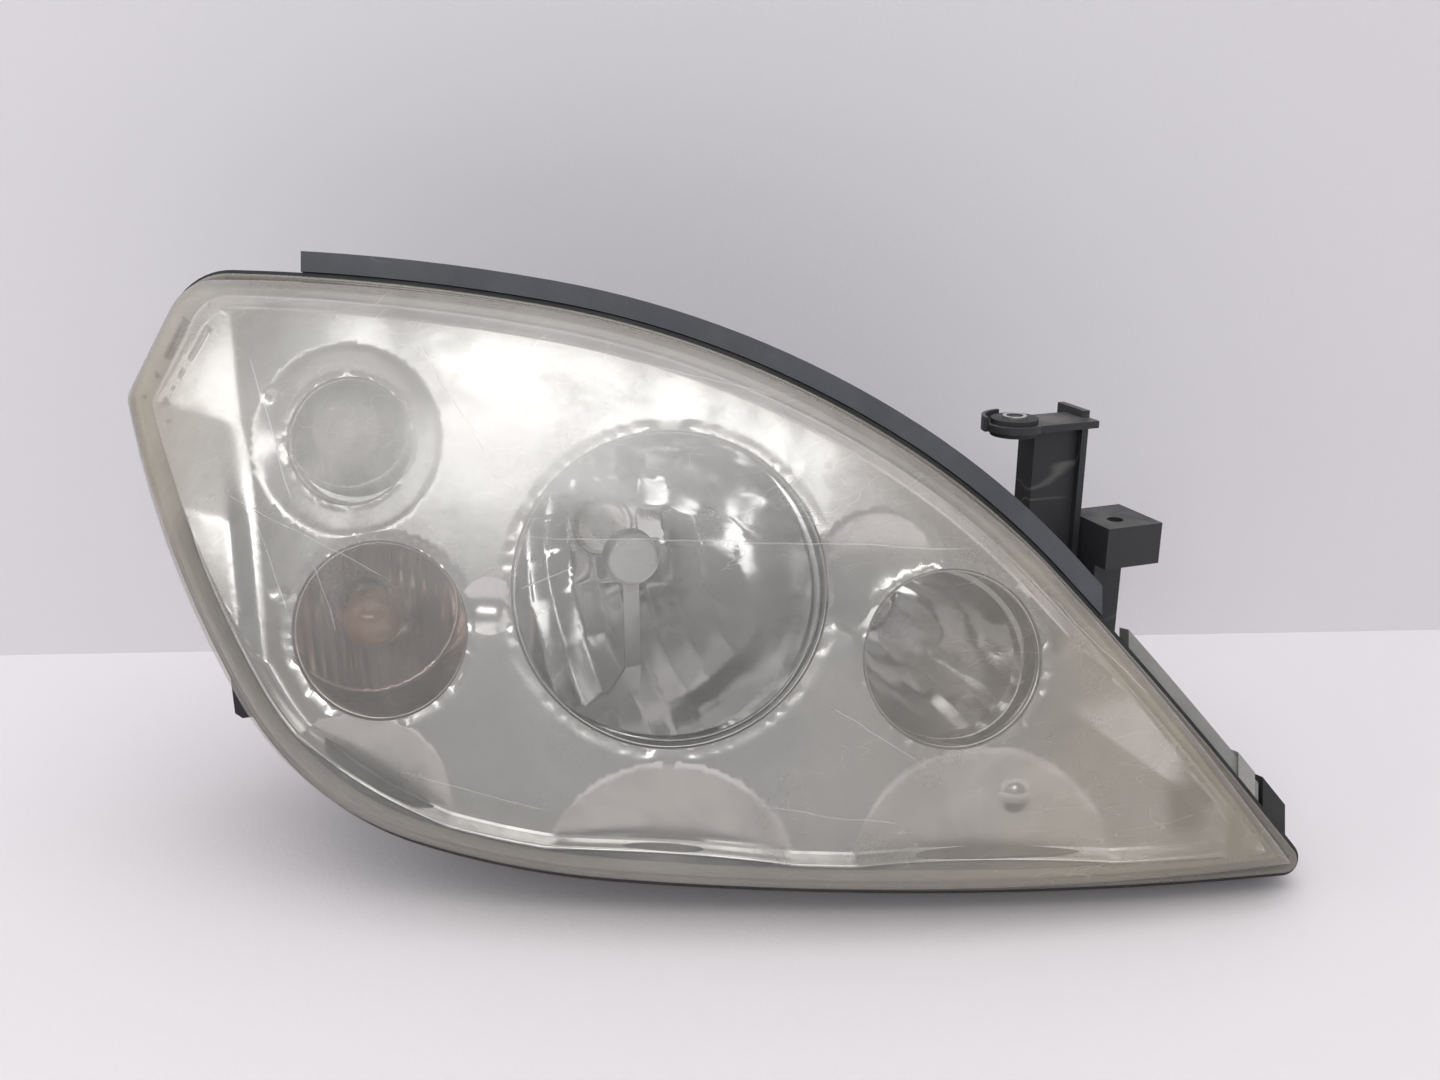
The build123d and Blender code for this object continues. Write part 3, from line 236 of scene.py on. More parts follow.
def filled(border, lines, holes, step, keep):
    """Triangles over the inside of border, with crisp lines in it and round holes left open."""
    points = [Vector(p) for p in border]
    edges = [(i, (i + 1) % len(border)) for i in range(len(border))]
    marks = [border]
    for line, closed in lines:
        line = np.asarray(line)
        start = len(points)
        points += [Vector(p) for p in line]
        edges += [(start + i, start + i + 1) for i in range(len(line) - 1)]
        if closed:
            edges.append((start + len(line) - 1, start))
        marks.append(line)
    marks = np.vstack(marks)
    grid = hex_grid(border.min(0), border.max(0), step)
    grid = grid[keep(grid)]
    clear = np.array([np.min(np.sum((marks - p) ** 2, axis=1)) > (0.6 * step) ** 2 for p in grid])
    points += [Vector(p) for p in grid[clear]]
    flat, _, faces, _, _, _ = delaunay_2d_cdt(points, edges, [], 0, 1e-4)
    flat = np.array([tuple(p) for p in flat])
    kept = []
    for face in faces:
        middle = flat[face].mean(0)
        a, b, c = (flat[i] for i in face[:3])
        area = (b[0] - a[0]) * (c[1] - a[1]) - (b[1] - a[1]) * (c[0] - a[0])
        if area < 1e-6 or any(np.hypot(middle[0] - h[0], middle[1] - h[1]) < h[2] for h in holes):
            continue
        kept.append(tuple(face))
    return flat, kept


def circle(u, v, radius, step=2.0, start=0.0):
    count = max(16, round(2 * math.pi * radius / step))
    return np.array([(u + radius * math.cos(start + 2 * math.pi * i / count),
                      v + radius * math.sin(start + 2 * math.pi * i / count)) for i in range(count)])


# ------------------------------------------------------------ shader maths
class Tone:
    """A shader socket that can be used in an expression."""

    def __init__(self, finish, socket):
        self.finish, self.socket = finish, socket

    def _maths(self, operation, first, second):
        return self.finish.node("ShaderNodeMath", {"operation": operation}, {0: first, 1: second})[0]

    def __add__(self, other): return self._maths("ADD", self, other)
    def __radd__(self, other): return self._maths("ADD", other, self)
    def __sub__(self, other): return self._maths("SUBTRACT", self, other)
    def __rsub__(self, other): return self._maths("SUBTRACT", other, self)
    def __mul__(self, other): return self._maths("MULTIPLY", self, other)
    def __rmul__(self, other): return self._maths("MULTIPLY", other, self)
    def __truediv__(self, other): return self._maths("DIVIDE", self, other)
    def __pow__(self, other): return self._maths("POWER", self, other)
    def highest(self, other): return self._maths("MAXIMUM", self, other)
    def lowest(self, other): return self._maths("MINIMUM", self, other)
    def size(self): return self._maths("ABSOLUTE", self, 0.0)


class Outputs:
    def __init__(self, finish, made):
        self.finish, self.made = finish, made

    def __getitem__(self, key):
        return Tone(self.finish, self.made.outputs[key])


class Finish:
    """A material while it is being mixed."""

    def __init__(self, name):
        self.material = bpy.data.materials.new(name)
        self.material.use_nodes = True
        self.tree = self.material.node_tree
        self.tree.nodes.clear()
        self.place = self.node("ShaderNodeTexCoord")["Object"]

    def node(self, kind, settings=None, inputs=None):
        made = self.tree.nodes.new(kind)
        for key, value in (settings or {}).items():
            setattr(made, key, value)
        for key, value in (inputs or {}).items():
            if isinstance(value, Tone):
                self.tree.links.new(value.socket, made.inputs[key])
            else:
                made.inputs[key].default_value = value
        return Outputs(self, made)

    def noise(self, per_metre, detail=3.0, rough=0.5, place=None, distort=0.0):
        return self.node("ShaderNodeTexNoise", {}, {
            "Vector": place or self.place, "Scale": per_metre, "Detail": detail, "Roughness": rough,
            "Distortion": distort})["Fac"]

    def turned(self, move=(0, 0, 0), turn=(0, 0, 0), scale=(1, 1, 1)):
        return self.node("ShaderNodeMapping", {}, {
            "Vector": self.place, "Location": move, "Rotation": turn, "Scale": scale})["Vector"]

    def step(self, value, low, high):
        """0 below low, 1 above high, and a smooth rise between."""
        return self.node("ShaderNodeMapRange", {"interpolation_type": "SMOOTHSTEP"}, {
            "Value": value, "From Min": low, "From Max": high})["Result"]

    def mix(self, share, first, second):
        """A colour between two."""
        return self.node("ShaderNodeMix", {"data_type": "RGBA"}, {0: share, 6: first, 7: second})[2]

    def along(self, axis, place=None):
        """The distance along a direction, as a number."""
        return self.node("ShaderNodeVectorMath", {"operation": "DOT_PRODUCT"}, {
            0: place or self.place, 1: tuple(axis)})["Value"]

    def streaks(self, axis_turn, per_metre, stretch, width, seed):
        """Thin scratches in one direction."""
        place = self.turned(move=(seed, seed * 2, seed * 3), turn=axis_turn, scale=(stretch, 1, 1))
        lines = self.noise(per_metre, 1.0, 0.4, place)
        return 1 - self.step((lines - 0.5).size(), 0.0, width)

    def dust(self, amount):
        """More on what faces up, and patchy."""
        normal = self.node("ShaderNodeNewGeometry")["Normal"]
        up = self.step(self.along((0, 0, 1), normal), 0.1, 0.95)
        return up * self.step(self.noise(45, 5, 0.65), 0.35, 0.7) * amount

    def bump(self, height, distance):
        return self.node("ShaderNodeBump", {}, {
            "Height": height, "Distance": distance, "Strength": 1.0})["Normal"]

    def done(self, **sockets):
        """The closing shader, its sockets named with underscores."""
        inputs = {key.replace("_", " "): value for key, value in sockets.items()}
        shader = self.node("ShaderNodeBsdfPrincipled", {}, inputs)["BSDF"]
        self.node("ShaderNodeOutputMaterial", {}, {"Surface": shader})
        return self.material


def rgb(*values):
    return (*values, 1.0)


def moulded(name, colour, dusty, rough=0.5, grain=900.0, dust=0.5, depth=0.00008, worn=0.35):
    """Moulded plastic or rubber: grain, dust on top, paler scuffs."""
    f = Finish(name)
    patches = f.step(f.noise(28, 4, 0.6), 0.35, 0.7)
    scuffs = f.streaks((0.3, 0.5, 0.7), 60, 0.12, 0.02, 3.1) * f.step(f.noise(18, 2), 0.5, 0.7) * worn
    base = f.mix(patches * 0.5, rgb(*colour), rgb(*(c * 1.5 + 0.01 for c in colour)))
    base = f.mix(f.dust(dust).highest(scuffs), base, rgb(*dusty))
    fine = f.noise(grain, 2, 0.6)
    return f.done(Base_Color=base, Roughness=(rough + 0.18 * patches + 0.1 * fine), IOR=1.48,
                  Normal=f.bump(fine + 0.4 * f.noise(120, 3), depth))


def metal(name, colour, rough, brushed=(0, 0, 0), tarnish=(0.30, 0.27, 0.22), spots=0.4):
    """Plated or drawn metal with fine lines and dull spots."""
    f = Finish(name)
    lines = f.noise(900, 2, 0.6, f.turned(turn=brushed, scale=(0.05, 1, 1)))
    dull = f.step(f.noise(90, 5, 0.7), 0.52, 0.72) * spots
    base = f.mix(dull, rgb(*colour), rgb(*tarnish))
    return f.done(Base_Color=base, Metallic=1.0 - 0.4 * dull, Roughness=rough + 0.12 * lines + 0.3 * dull,
                  Normal=f.bump(lines, 0.00003))


def mirror(name, colour, rough, haze_from, haze_to, ripple=0.00004):
    """Metallised plastic: nearly a mirror, with a grey film in patches."""
    f = Finish(name)
    film = f.step(f.noise(22, 5, 0.62, distort=0.4), 0.38, 0.7)
    specks = f.step(f.noise(420, 2, 0.6), 0.66, 0.72) * 0.35
    base = f.mix(film.highest(specks), rgb(*colour), rgb(*(c * 0.72 for c in colour)))
    return f.done(Base_Color=base, Metallic=1.0, Roughness=haze_from + (haze_to - haze_from) * film + rough,
                  Normal=f.bump(f.noise(70, 3, 0.5), ripple))


def glass(name, colour, alpha, rough=0.06, brown=None):
    """Thin bulb glass: see-through, with a gloss and a brown film where it has been hot."""
    f = Finish(name)
    film = f.step(f.noise(120, 4, 0.6), 0.4, 0.75)
    base = f.mix(film, rgb(*colour), rgb(*(brown or colour)))
    return f.done(Base_Color=base, Roughness=rough + 0.12 * film, IOR=1.5, Coat_Weight=1.0,
                  Alpha=alpha + 0.2 * film, Normal=f.bump(f.noise(60, 2), 0.00003))


# ------------------------------------------------------------ lens finish
def face_places(f):
    """u and v on the face, in metres, from object coordinates."""
    centre = FACE_CENTRE * MM
    u = f.along(ACROSS) - centre.dot(ACROSS)
    v = f.along(UP) - centre.dot(UP)
    return u, v


def band(f, value, middle, half, soft):
    """1 within half of middle, falling to 0 over soft."""
    return 1 - f.step((value - middle).size(), half, half + soft)


SCRATCHES = (
    # u, v of both ends in millimetres and the width
    (-176, 69, -158, 14, 0.22), (-171, 5, -160, -27, 0.20), (-149, -9, -141, -34, 0.18),
    (-72, -17, -52, -10, 0.22), (-70, 1, 94, -3, 0.20), (-186, 18, -120, -14, 0.16),
    (-30, 64, 20, 52, 0.16), (40, -60, 74, -82, 0.18), (120, -20, 160, -58, 0.16),
    (-110, 72, -84, 30, 0.14), (10, -96, 66, -104, 0.16), (-120, -84, -60, -100, 0.16),
)


def scratch(f, u, v, line):
    """A thin line between two places on the face."""
    u0, v0, u1, v1, width = (x * MM for x in line)
    length = math.hypot(u1 - u0, v1 - v0)
    du, dv = (u1 - u0) / length, (v1 - v0) / length
    wander = (f.noise(35, 2) - 0.5) * 0.004
    across = ((u - u0) * -dv + (v - v0) * du + wander).size()
    along = (u - u0) * du + (v - v0) * dv
    return (1 - f.step(across, 0.0, width * 2.2)) * band(f, along, length / 2, length * 0.4, length * 0.12)


def lens_finish():
    f = Finish("hazed_polycarbonate")
    u, v = face_places(f)
    clouds = f.step(f.noise(11, 5, 0.62, distort=0.6), 0.3, 0.72)
    fine = f.noise(160, 4, 0.7)
    milk = f.step(v + u * 0.12 + (clouds - 0.5) * 0.05, -0.075, 0.075)
    right = f.step(u + (clouds - 0.5) * 0.06, 0.02, 0.16)
    left = 1 - f.step(u, -0.235, -0.165)
    inner = f.node("ShaderNodeAttribute", {"attribute_name": "edge_depth"})["Fac"]
    rim = 1 - f.step(inner + (clouds - 0.5) * 2, 4.0, 12.0)
    lines = scratch(f, u, v, SCRATCHES[0])
    for line in SCRATCHES[1:]:
        lines = lines.highest(scratch(f, u, v, line))
    swirls = f.streaks((0.2, 0.9, 0.4), 160, 0.10, 0.012, 1.7) * f.step(f.noise(40, 2), 0.45, 0.65)
    crossing = f.streaks((0.5, -0.6, 1.1), 140, 0.08, 0.010, 5.3) * f.step(f.noise(30, 2), 0.5, 0.7)
    swirls = swirls.highest(crossing)
    cream = f.mix(right.highest(left), rgb(0.74, 0.72, 0.68), rgb(0.66, 0.59, 0.47))
    cream = f.mix(rim, cream, rgb(0.30, 0.27, 0.23))
    cream = f.mix(lines * 0.8, cream, rgb(0.86, 0.86, 0.84))
    haze = 0.15 + 0.26 * milk + 0.14 * right + 0.14 * left + 0.20 * rim + 0.08 * (clouds - 0.5) + 0.06 * fine
    # Painted glare: a patch in the upper band made more milky and pale, standing in for a bright reflection on
    # the lens.
    painted_glare_patch = band(f, v + (clouds - 0.5) * 0.02, 0.034, 0.006, 0.032) * band(f, u, -0.118, 0.045, 0.07)
    haze = haze + 0.22 * lines + 0.10 * swirls + 0.22 * painted_glare_patch
    return f.done(Base_Color=cream, Roughness=0.30 + 0.12 * clouds - 0.1 * rim, IOR=1.58,
                  Specular_IOR_Level=0.9,
                  Coat_Weight=1.0, Coat_Roughness=0.08, Alpha=haze.lowest(0.93),
                  Normal=f.bump(lines * -1.0 + 0.15 * swirls + 0.05 * fine, 0.00012))


def lens_inner_finish():
    f = Finish("lens_inner_face")
    inner = f.node("ShaderNodeAttribute", {"attribute_name": "edge_depth"})["Fac"]
    film = f.step(f.noise(14, 4, 0.6), 0.4, 0.75)
    rim = 1 - f.step(inner, 6.0, 16.0)
    return f.done(Base_Color=f.mix(rim, rgb(0.66, 0.66, 0.62), rgb(0.45, 0.41, 0.32)),
                  Roughness=0.25 + 0.1 * film,
                  IOR=1.5, Alpha=0.03 + 0.05 * film + 0.30 * rim)


# ------------------------------------------------------------ lens
LENS_RINGS = (0.0, 0.25, 0.8, 2.2, 3.4, WALL_FOOT, WALL_TOP, 4.95, 5.3, 5.9, 6.6, INNER_FOOT, INNER_TOP, 8.4, 9.4,
              10.6, 12.2, 13.9, 16.0)
LENS_STEP = 4.0


def lens_outside(u, v, d):
    """Height of the lens's outside: flange, upright wall, rolled edge and dome."""
    lip = np.clip(1 - d / 0.8, 0, 1) ** 2 * 0.8
    groove = 0.7 * np.exp(-((d - 3.3) / 0.5) ** 2)
    flange = parting(u) - lip - groove
    top = dome(u, v)
    t = np.clip((d - WALL_TOP) / ROLL, 0, 1)
    rolled = top - ROLL + ROLL * np.sqrt(1 - (1 - t) ** 2)
    climb = np.clip((d - WALL_FOOT) / (WALL_TOP - WALL_FOOT), 0, 1)
    wall = flange + (top - ROLL - flange) * climb
    return np.where(d < WALL_FOOT, flange, np.where(d < WALL_TOP, wall, rolled))


def lens_inside(u, v, d):
    low = parting(u) - FLANGE
    top = dome(u, v, DOME_RADIUS - LENS_WALL)
    t = np.clip((d - INNER_TOP) / INNER_ROLL, 0, 1)
    rolled = top - INNER_ROLL + INNER_ROLL * np.sqrt(1 - (1 - t) ** 2)
    climb = np.clip((d - INNER_FOOT) / (INNER_TOP - INNER_FOOT), 0, 1)
    wall = low + (top - INNER_ROLL - low) * climb
    return np.where(d < INNER_FOOT, low, np.where(d < INNER_TOP, wall, rolled))


def ringed(rings):
    """Rings of the outline as one list of places, their depths and the strips of faces between."""
    count = len(LEAF)
    flat = np.vstack([ring(d) for d in rings])
    depths = np.repeat(rings, count)
    strips = []
    for k in range(len(rings) - 1):
        for i in range(count):
            j = (i + 1) % count
            strips.append((k * count + i, k * count + j, (k + 1) * count + j, (k + 1) * count + i))
    return flat, depths, strips


def distinct(points):
    kept = [points[0]]
    for p in points[1:]:
        if np.hypot(*(p - kept[-1])) > 0.4:
            kept.append(p)
    if np.hypot(*(kept[0] - kept[-1])) < 0.4:
        kept.pop()
    return np.array(kept)


def make_lens(outside, inside):
    flat, depths, strips = ringed(LENS_RINGS)
    last = LENS_RINGS[-1]
    border = distinct(flat[-len(LEAF):])
    keep = lambda g: inside_leaf(g) & (depth_in(g) > last + LENS_STEP * 0.5)
    middle, triangles = filled(border, [], [], LENS_STEP, keep)
    start = len(flat)
    flat = np.vstack([flat, middle])
    depths = np.concatenate([depths, np.maximum(depth_in(middle), last)])
    faces = strips + [tuple(start + i for i in t) for t in triangles]
    u, v = flat[:, 0], flat[:, 1]
    outer, inner = lens_outside(u, v, depths), lens_inside(u, v, depths)
    total = len(flat)
    verts = [on_face(*p) for p in zip(u, v, outer)] + [on_face(*p) for p in zip(u, v, inner)]
    back = [tuple(total + i for i in reversed(face)) for face in faces]
    count = len(LEAF)
    edge = [(i, total + i, total + (i + 1) % count, (i + 1) % count) for i in range(count)]
    slots = [0] * len(faces) + [1] * len(back) + [0] * len(edge)
    mesh = bpy.data.meshes.new("lens")
    mesh.from_pydata([tuple(p) for p in verts], [], faces + back + edge)
    mesh.materials.append(outside)
    mesh.materials.append(inside)
    mesh.polygons.foreach_set("material_index", slots)
    mesh.polygons.foreach_set("use_smooth", [True] * len(mesh.polygons))
    deep = mesh.attributes.new("edge_depth", "FLOAT", "POINT")
    deep.data.foreach_set("value", np.concatenate([depths, depths]).astype(np.float32))
    cleaned(mesh)
    return crisp(placed("clear_lens", mesh), 40)


# ------------------------------------------------------------ bezel
# Round openings: u, v, radius, radius of the flare round them and its depth.
OPENINGS = ((-20.0, -19.5, 62.0, 66.0, 1.6), (92.0, -47.0, 35.0, 39.0, 1.8), (-135.5, -36.0, 35.0, 39.0, 2.0),
            (-148.6, 39.6, 25.0, 38.0, 5.0))
# Dished scoops: u, v, radius and depth.
SCOOPS = ((63.0, -14.5, 25.5, 5.0), (-143.0, -106.0, 37.0, 8.0), (-20.0, -139.0, 51.0, 11.0),
          (104.0, -134.0, 52.0, 11.0), (-91.0, -26.0, 11.5, 3.5))
DIMPLES = ((-180.0, 58.0, 2.6, 1.6), (-176.0, -21.0, 2.6, 1.6))
BUMP = (118.0, -103.0, 6.0, 2.2)
LEFT_BASE_U, LEFT_LEAN, LEFT_SOFT = -186.0, -0.10, 9.0
LEFT_CREASE_V = 44.0
TIP_CREASE = ((124.0, -58.0), (212.0, -117.0))
LIP_DEPTH = 8.5
BEZEL_STEP = 2.2
BEZEL_RINGS = (BEZEL_EDGE, 9.5, 10.0, 10.6, 11.4, 12.4)
EDGE_ROLL = 3.4


def bezel_height(flat, depths):
    u, v = flat[:, 0], flat[:, 1]
    rise = np.zeros(len(flat))
    away = np.clip(LEFT_BASE_U + LEFT_LEAN * v - u, 0, None)
    soft = away**2 / (away + LEFT_SOFT)
    lower = np.clip(LEFT_CREASE_V + (LEFT_BASE_U - u) * 0.3 - v, 0, None)
    rise += np.minimum(soft * 0.26, 9.0) + np.clip(lower, 0, 40) * 0.10 * np.clip(away / LEFT_SOFT, 0, 1)
    (u0, v0), (u1, v1) = TIP_CREASE
    du, dv = u1 - u0, v1 - v0
    length = math.hypot(du, dv)
    above = ((v - v0) * du - (u - u0) * dv) / length
    along = ((u - u0) * du + (v - v0) * dv) / length
    rise += np.clip(above, 0, 24) * 0.28 * np.clip(along / 40, 0, 1)
    dip = np.zeros(len(flat))
    for cu, cv, r, flare, deep in OPENINGS:
        rho = np.hypot(u - cu, v - cv)
        t = np.clip((flare - rho) / (flare - r), 0, 1)
        dip = np.maximum(dip, deep * (0.65 * t + 0.35 * t * t))
    for cu, cv, r, deep in SCOOPS:
        rho = np.hypot(u - cu, v - cv)
        dip = np.maximum(dip, deep * np.clip(1 - (rho / r) ** 2, 0, 1))
    for cu, cv, r, deep in DIMPLES:
        rho = np.hypot(u - cu, v - cv)
        dip = dip + deep * np.clip(1 - (rho / r) ** 2, 0, 1)
    cu, cv, r, high = BUMP
    rise += high * np.clip(1 - (np.hypot(u - cu, v - cv) / r) ** 2, 0, 1)
    lip = (BEZEL_DEPTH - 1.5) * np.clip(1 - (depths - BEZEL_EDGE) / EDGE_ROLL, 0, 1) ** 2.2
    return parting(u) - BEZEL_DEPTH + np.maximum(rise, lip) - dip


def make_bezel(finish):
    flat, depths, strips = ringed(BEZEL_RINGS)
    border = distinct(flat[-len(LEAF):])
    last = BEZEL_RINGS[-1]
    within = lambda line: line[inside_leaf(line) & (depth_in(line) > last + 1.0)]
    lines = []
    for cu, cv, r, flare, deep in OPENINGS:
        lines.append((circle(cu, cv, r, 1.6), True))
        lines.append((circle(cu, cv, r + 0.9, 1.6), True))
    for cu, cv, r, *_ in SCOOPS + tuple((a, b, d, 0) for a, b, c, d, e in OPENINGS[1:]):
        for run in runs_inside(circle(cu, cv, r, 1.6), last + 1.0):
            lines.append((run, False))
    holes = [(cu, cv, r) for cu, cv, r, _, _ in OPENINGS]
    keep = lambda g: (inside_leaf(g) & (depth_in(g) > last + BEZEL_STEP * 0.5)
                      & np.all([np.hypot(g[:, 0] - a, g[:, 1] - b) > c + 1.6 for a, b, c in holes], axis=0))
    middle, triangles = filled(border, lines, holes, BEZEL_STEP, keep)
    start = len(flat)
    flat = np.vstack([flat, middle])
    depths = np.concatenate([depths, np.maximum(depth_in(middle), last)])
    w = bezel_height(flat, depths)
    for cu, cv, r, *_ in OPENINGS:
        rho = np.hypot(flat[:, 0] - cu, flat[:, 1] - cv)
        w = w + 0.9 * np.exp(-((rho - r - 0.9) / 0.55) ** 2)
    faces = strips + [tuple(start + i for i in t) for t in triangles]
    verts = [on_face(*p) for p in zip(flat[:, 0], flat[:, 1], w)]
    for cu, cv, r, flare, deep in OPENINGS:
        rim = circle(cu, cv, r, 1.6)
        top = bezel_height(rim, np.full(len(rim), 50.0))
        back = parting(cu) - BEZEL_DEPTH - LIP_DEPTH
        levels = [top, top - 0.6, (top + back) / 2, np.full(len(rim), back)]
        insets = [0.0, 0.35, 0.5, 0.6]
        base = len(verts)
        n = len(rim)
        for level, inset in zip(levels, insets):
            for p, h in zip(circle(cu, cv, r - inset, 1.6 * (r - inset) / r), level):
                verts.append(on_face(p[0], p[1], h))
        for k in range(len(levels) - 1):
            for i in range(n):
                j = (i + 1) % n
                low, high = base + k * n, base + (k + 1) * n
                faces.append((low + i, low + j, high + j, high + i))
    piece = finished("silver_bezel", verts, faces, finish)
    wall = piece.modifiers.new("wall", "SOLIDIFY")
    wall.thickness = 0.8 * MM
    wall.offset = -1.0
    crisp(piece, 24)
    return piece


def runs_inside(line, depth):
    """The stretches of a closed line that lie at least this deep inside the leaf."""
    good = inside_leaf(line) & (depth_in(line) > depth)
    for cu, cv, r, *_ in OPENINGS:
        good &= np.hypot(line[:, 0] - cu, line[:, 1] - cv) > r + 2.2
    runs, run = [], []
    for p, ok in zip(np.vstack([line, line[:1]]), list(good) + [good[0]]):
        if ok:
            run.append(p)
        elif run:
            runs.append(run)
            run = []
    if run:
        runs.append(run)
    return [np.array(r) for r in runs if len(r) > 3]


# ------------------------------------------------------------ reflector facings
# Beam bowls: x and z of the axis, focal length, y of the vertex, radius and hole, in
# millimetres from the face's centre.
LOW_BOWL = (-20.0, -22.0, 28.0, 103.0, 63.0, 13.0)
HIGH_BOWL = (88.0, -54.0, 19.0, 50.0, 33.0, 12.5)
TURN_BOWL = (-126.0, -41.0, 14.0, 98.0, 35.5, 10.5)
POSITION_BOWL = (-128.0, 33.0, 9.0, 112.0, 25.0, 15.0)
FACING = 0.35
LOW_COLLAR, HIGH_COLLAR = 25.0, 31.0
SKIRT = 6.0
COLLAR_ROWS = 6
COLLAR_SWELL = 0.6


def plane_y(x, z, below):
    """y of the face's plane, moved in by below, at a place across and up from its centre."""
    return -(below + OUT.x * x + OUT.z * z) / OUT.y


def make_facing(name, bowl, finish, relief, step=1.6, collar=None):
    """A thin shaped facing in a bowl; a collar carries its edge forward to the bezel."""
    x0, z0, focal, vertex, radius, hole = bowl
    border = circle(0, 0, radius - 0.3, step)
    out = lambda g: np.hypot(g[:, 0], g[:, 1])
    keep = lambda g: (out(g) < radius - step) & (out(g) > hole + step * 0.6)
    flat, triangles = filled(border, [(circle(0, 0, hole, step), True)], [(0, 0, hole)], step, keep)
    rho2 = (flat**2).sum(1)
    depth = vertex - rho2 / (4 * focal) - FACING
    if collar is not None:
        spoke = np.maximum(np.sqrt(rho2), 1e-6)
        reach = np.array([vertex - plane_y(x0 + p[0] * radius / r, z0 + p[1] * radius / r, collar + SKIRT)
                          for p, r in zip(flat, spoke)])
        depth -= np.maximum(reach - radius**2 / (4 * focal), 0) * (rho2 / radius**2) ** 2
    depth -= relief(flat[:, 0], flat[:, 1])
    verts = [off_face(x0 + p[0], y, z0 + p[1]) for p, y in zip(flat, depth)]
    if collar is not None:
        count, start = len(border), len(verts)
        front = np.array([plane_y(x0 + p[0], z0 + p[1], collar) for p in border])
        edge = np.hypot(flat[:count, 0], flat[:count, 1])
        base = depth[:count]
        for k in range(1, COLLAR_ROWS + 1):
            share = k / COLLAR_ROWS
            for i, p in enumerate(border):
                swell = COLLAR_SWELL * math.sin(math.pi * share)
                wider = (edge[i] + swell) / edge[i]
                y = base[i] + (min(front[i], base[i] - 0.5) - base[i]) * share
                verts.append(off_face(x0 + p[0] * wider, y, z0 + p[1] * wider))
        for k in range(COLLAR_ROWS):
            low = 0 if k == 0 else start + (k - 1) * count
            high = start + k * count
            for i in range(count):
                j = (i + 1) % count
                triangles.append((low + j, low + i, high + i, high + j))
    piece = finished(name, verts, triangles, finish)
    wall = piece.modifiers.new("wall", "SOLIDIFY")
    wall.thickness = 0.25 * MM
    wall.offset = -1.0
    return crisp(piece, 14)


def blocks(width, height, swell, seed, lean):
    """Relief of a field of pillow facets, each a little tilted."""
    chance = random.Random(seed)
    tilt = {}

    def relief(x, z):
        out = np.zeros(len(x))
        column, row = np.floor(x / width + 0.5), np.floor(z / height + 0.5)
        s, t = x / width - column, z / height - row
        for k in range(len(x)):
            key = (int(column[k]), int(row[k]))
            if key not in tilt:
                tilt[key] = (chance.uniform(-lean, lean), chance.uniform(-lean, lean))
            a, b = tilt[key]
            pillow = swell * (1 - 4 * s[k] ** 2) * 0.75 + swell * (1 - 4 * t[k] ** 2) * 0.25
            out[k] = pillow + a * s[k] + b * t[k] + 0.7
        return out
    return relief


def flutes(width, height):
    """Relief of upright flutes."""
    return lambda x, z: height * np.abs(np.cos(math.pi * x / width)) + 0.05


# ------------------------------------------------------------ ribbed strip on the lens
RIBS = {"Rib length": 4.2 * MM, "Rib width": 0.5 * MM, "Rib height": 0.4 * MM, "Spacing": 1.0 * MM}
RIB_INSET, RIB_FROM, RIB_TO = 11.0, 82.0, 208.0


def rib_line():
    """Along the upper edge of the leaf, on the inside of the lens."""
    flat = ring(RIB_INSET)
    above_tip = LEAF[LEAF[:, 0].argmax(), 1] + 4
    flat = flat[(flat[:, 0] > RIB_FROM) & (flat[:, 0] < RIB_TO) & (flat[:, 1] > above_tip)]
    flat = flat[flat[:, 0].argsort()]
    high = lens_inside(flat[:, 0], flat[:, 1], np.full(len(flat), RIB_INSET))
    return [on_face(*p) for p in zip(flat[:, 0], flat[:, 1], high + 0.1)]




def rib_tree():
    """Geometry nodes: short ribs set square along a line."""
    tree = bpy.data.node_groups.new("ribs_along_line", "GeometryNodeTree")
    face = tree.interface
    face.new_socket("Geometry", in_out="INPUT", socket_type="NodeSocketGeometry")
    for label, kind in (("Rib length", "NodeSocketFloat"), ("Rib width", "NodeSocketFloat"),
                        ("Rib height", "NodeSocketFloat"), ("Spacing", "NodeSocketFloat"),
                        ("Finish", "NodeSocketMaterial")):
        face.new_socket(label, in_out="INPUT", socket_type=kind)
    face.new_socket("Geometry", in_out="OUTPUT", socket_type="NodeSocketGeometry")

    def node(kind, settings=None, **inputs):
        made = tree.nodes.new(kind)
        for key, value in (settings or {}).items():
            setattr(made, key, value)
        for key, value in inputs.items():
            key = key.replace("_", " ")
            if isinstance(value, bpy.types.NodeSocket):
                tree.links.new(value, made.inputs[key])
            else:
                made.inputs[key].default_value = value
        return made

    given = tree.nodes.new("NodeGroupInput").outputs
    curve = node("GeometryNodeMeshToCurve", Mesh=given["Geometry"])
    dots = node("GeometryNodeResampleCurve", {"mode": "LENGTH"}, Curve=curve.outputs["Curve"],
                Length=given["Spacing"])
    size = node("ShaderNodeCombineXYZ", X=given["Rib height"], Y=given["Rib length"], Z=given["Rib width"])
    rib = node("GeometryNodeMeshCube", Size=size.outputs[0])
    points = node("GeometryNodeCurveToPoints", {"mode": "EVALUATED"}, Curve=dots.outputs["Curve"])
    placed = node("GeometryNodeInstanceOnPoints", Points=points.outputs["Points"], Instance=rib.outputs["Mesh"],
                  Rotation=points.outputs["Rotation"])
    real = node("GeometryNodeRealizeInstances", Geometry=placed.outputs["Instances"])
    dressed = node("GeometryNodeSetMaterial", Geometry=real.outputs["Geometry"], Material=given["Finish"])
    end = tree.nodes.new("NodeGroupOutput")
    tree.links.new(dressed.outputs["Geometry"], end.inputs["Geometry"])
    return tree


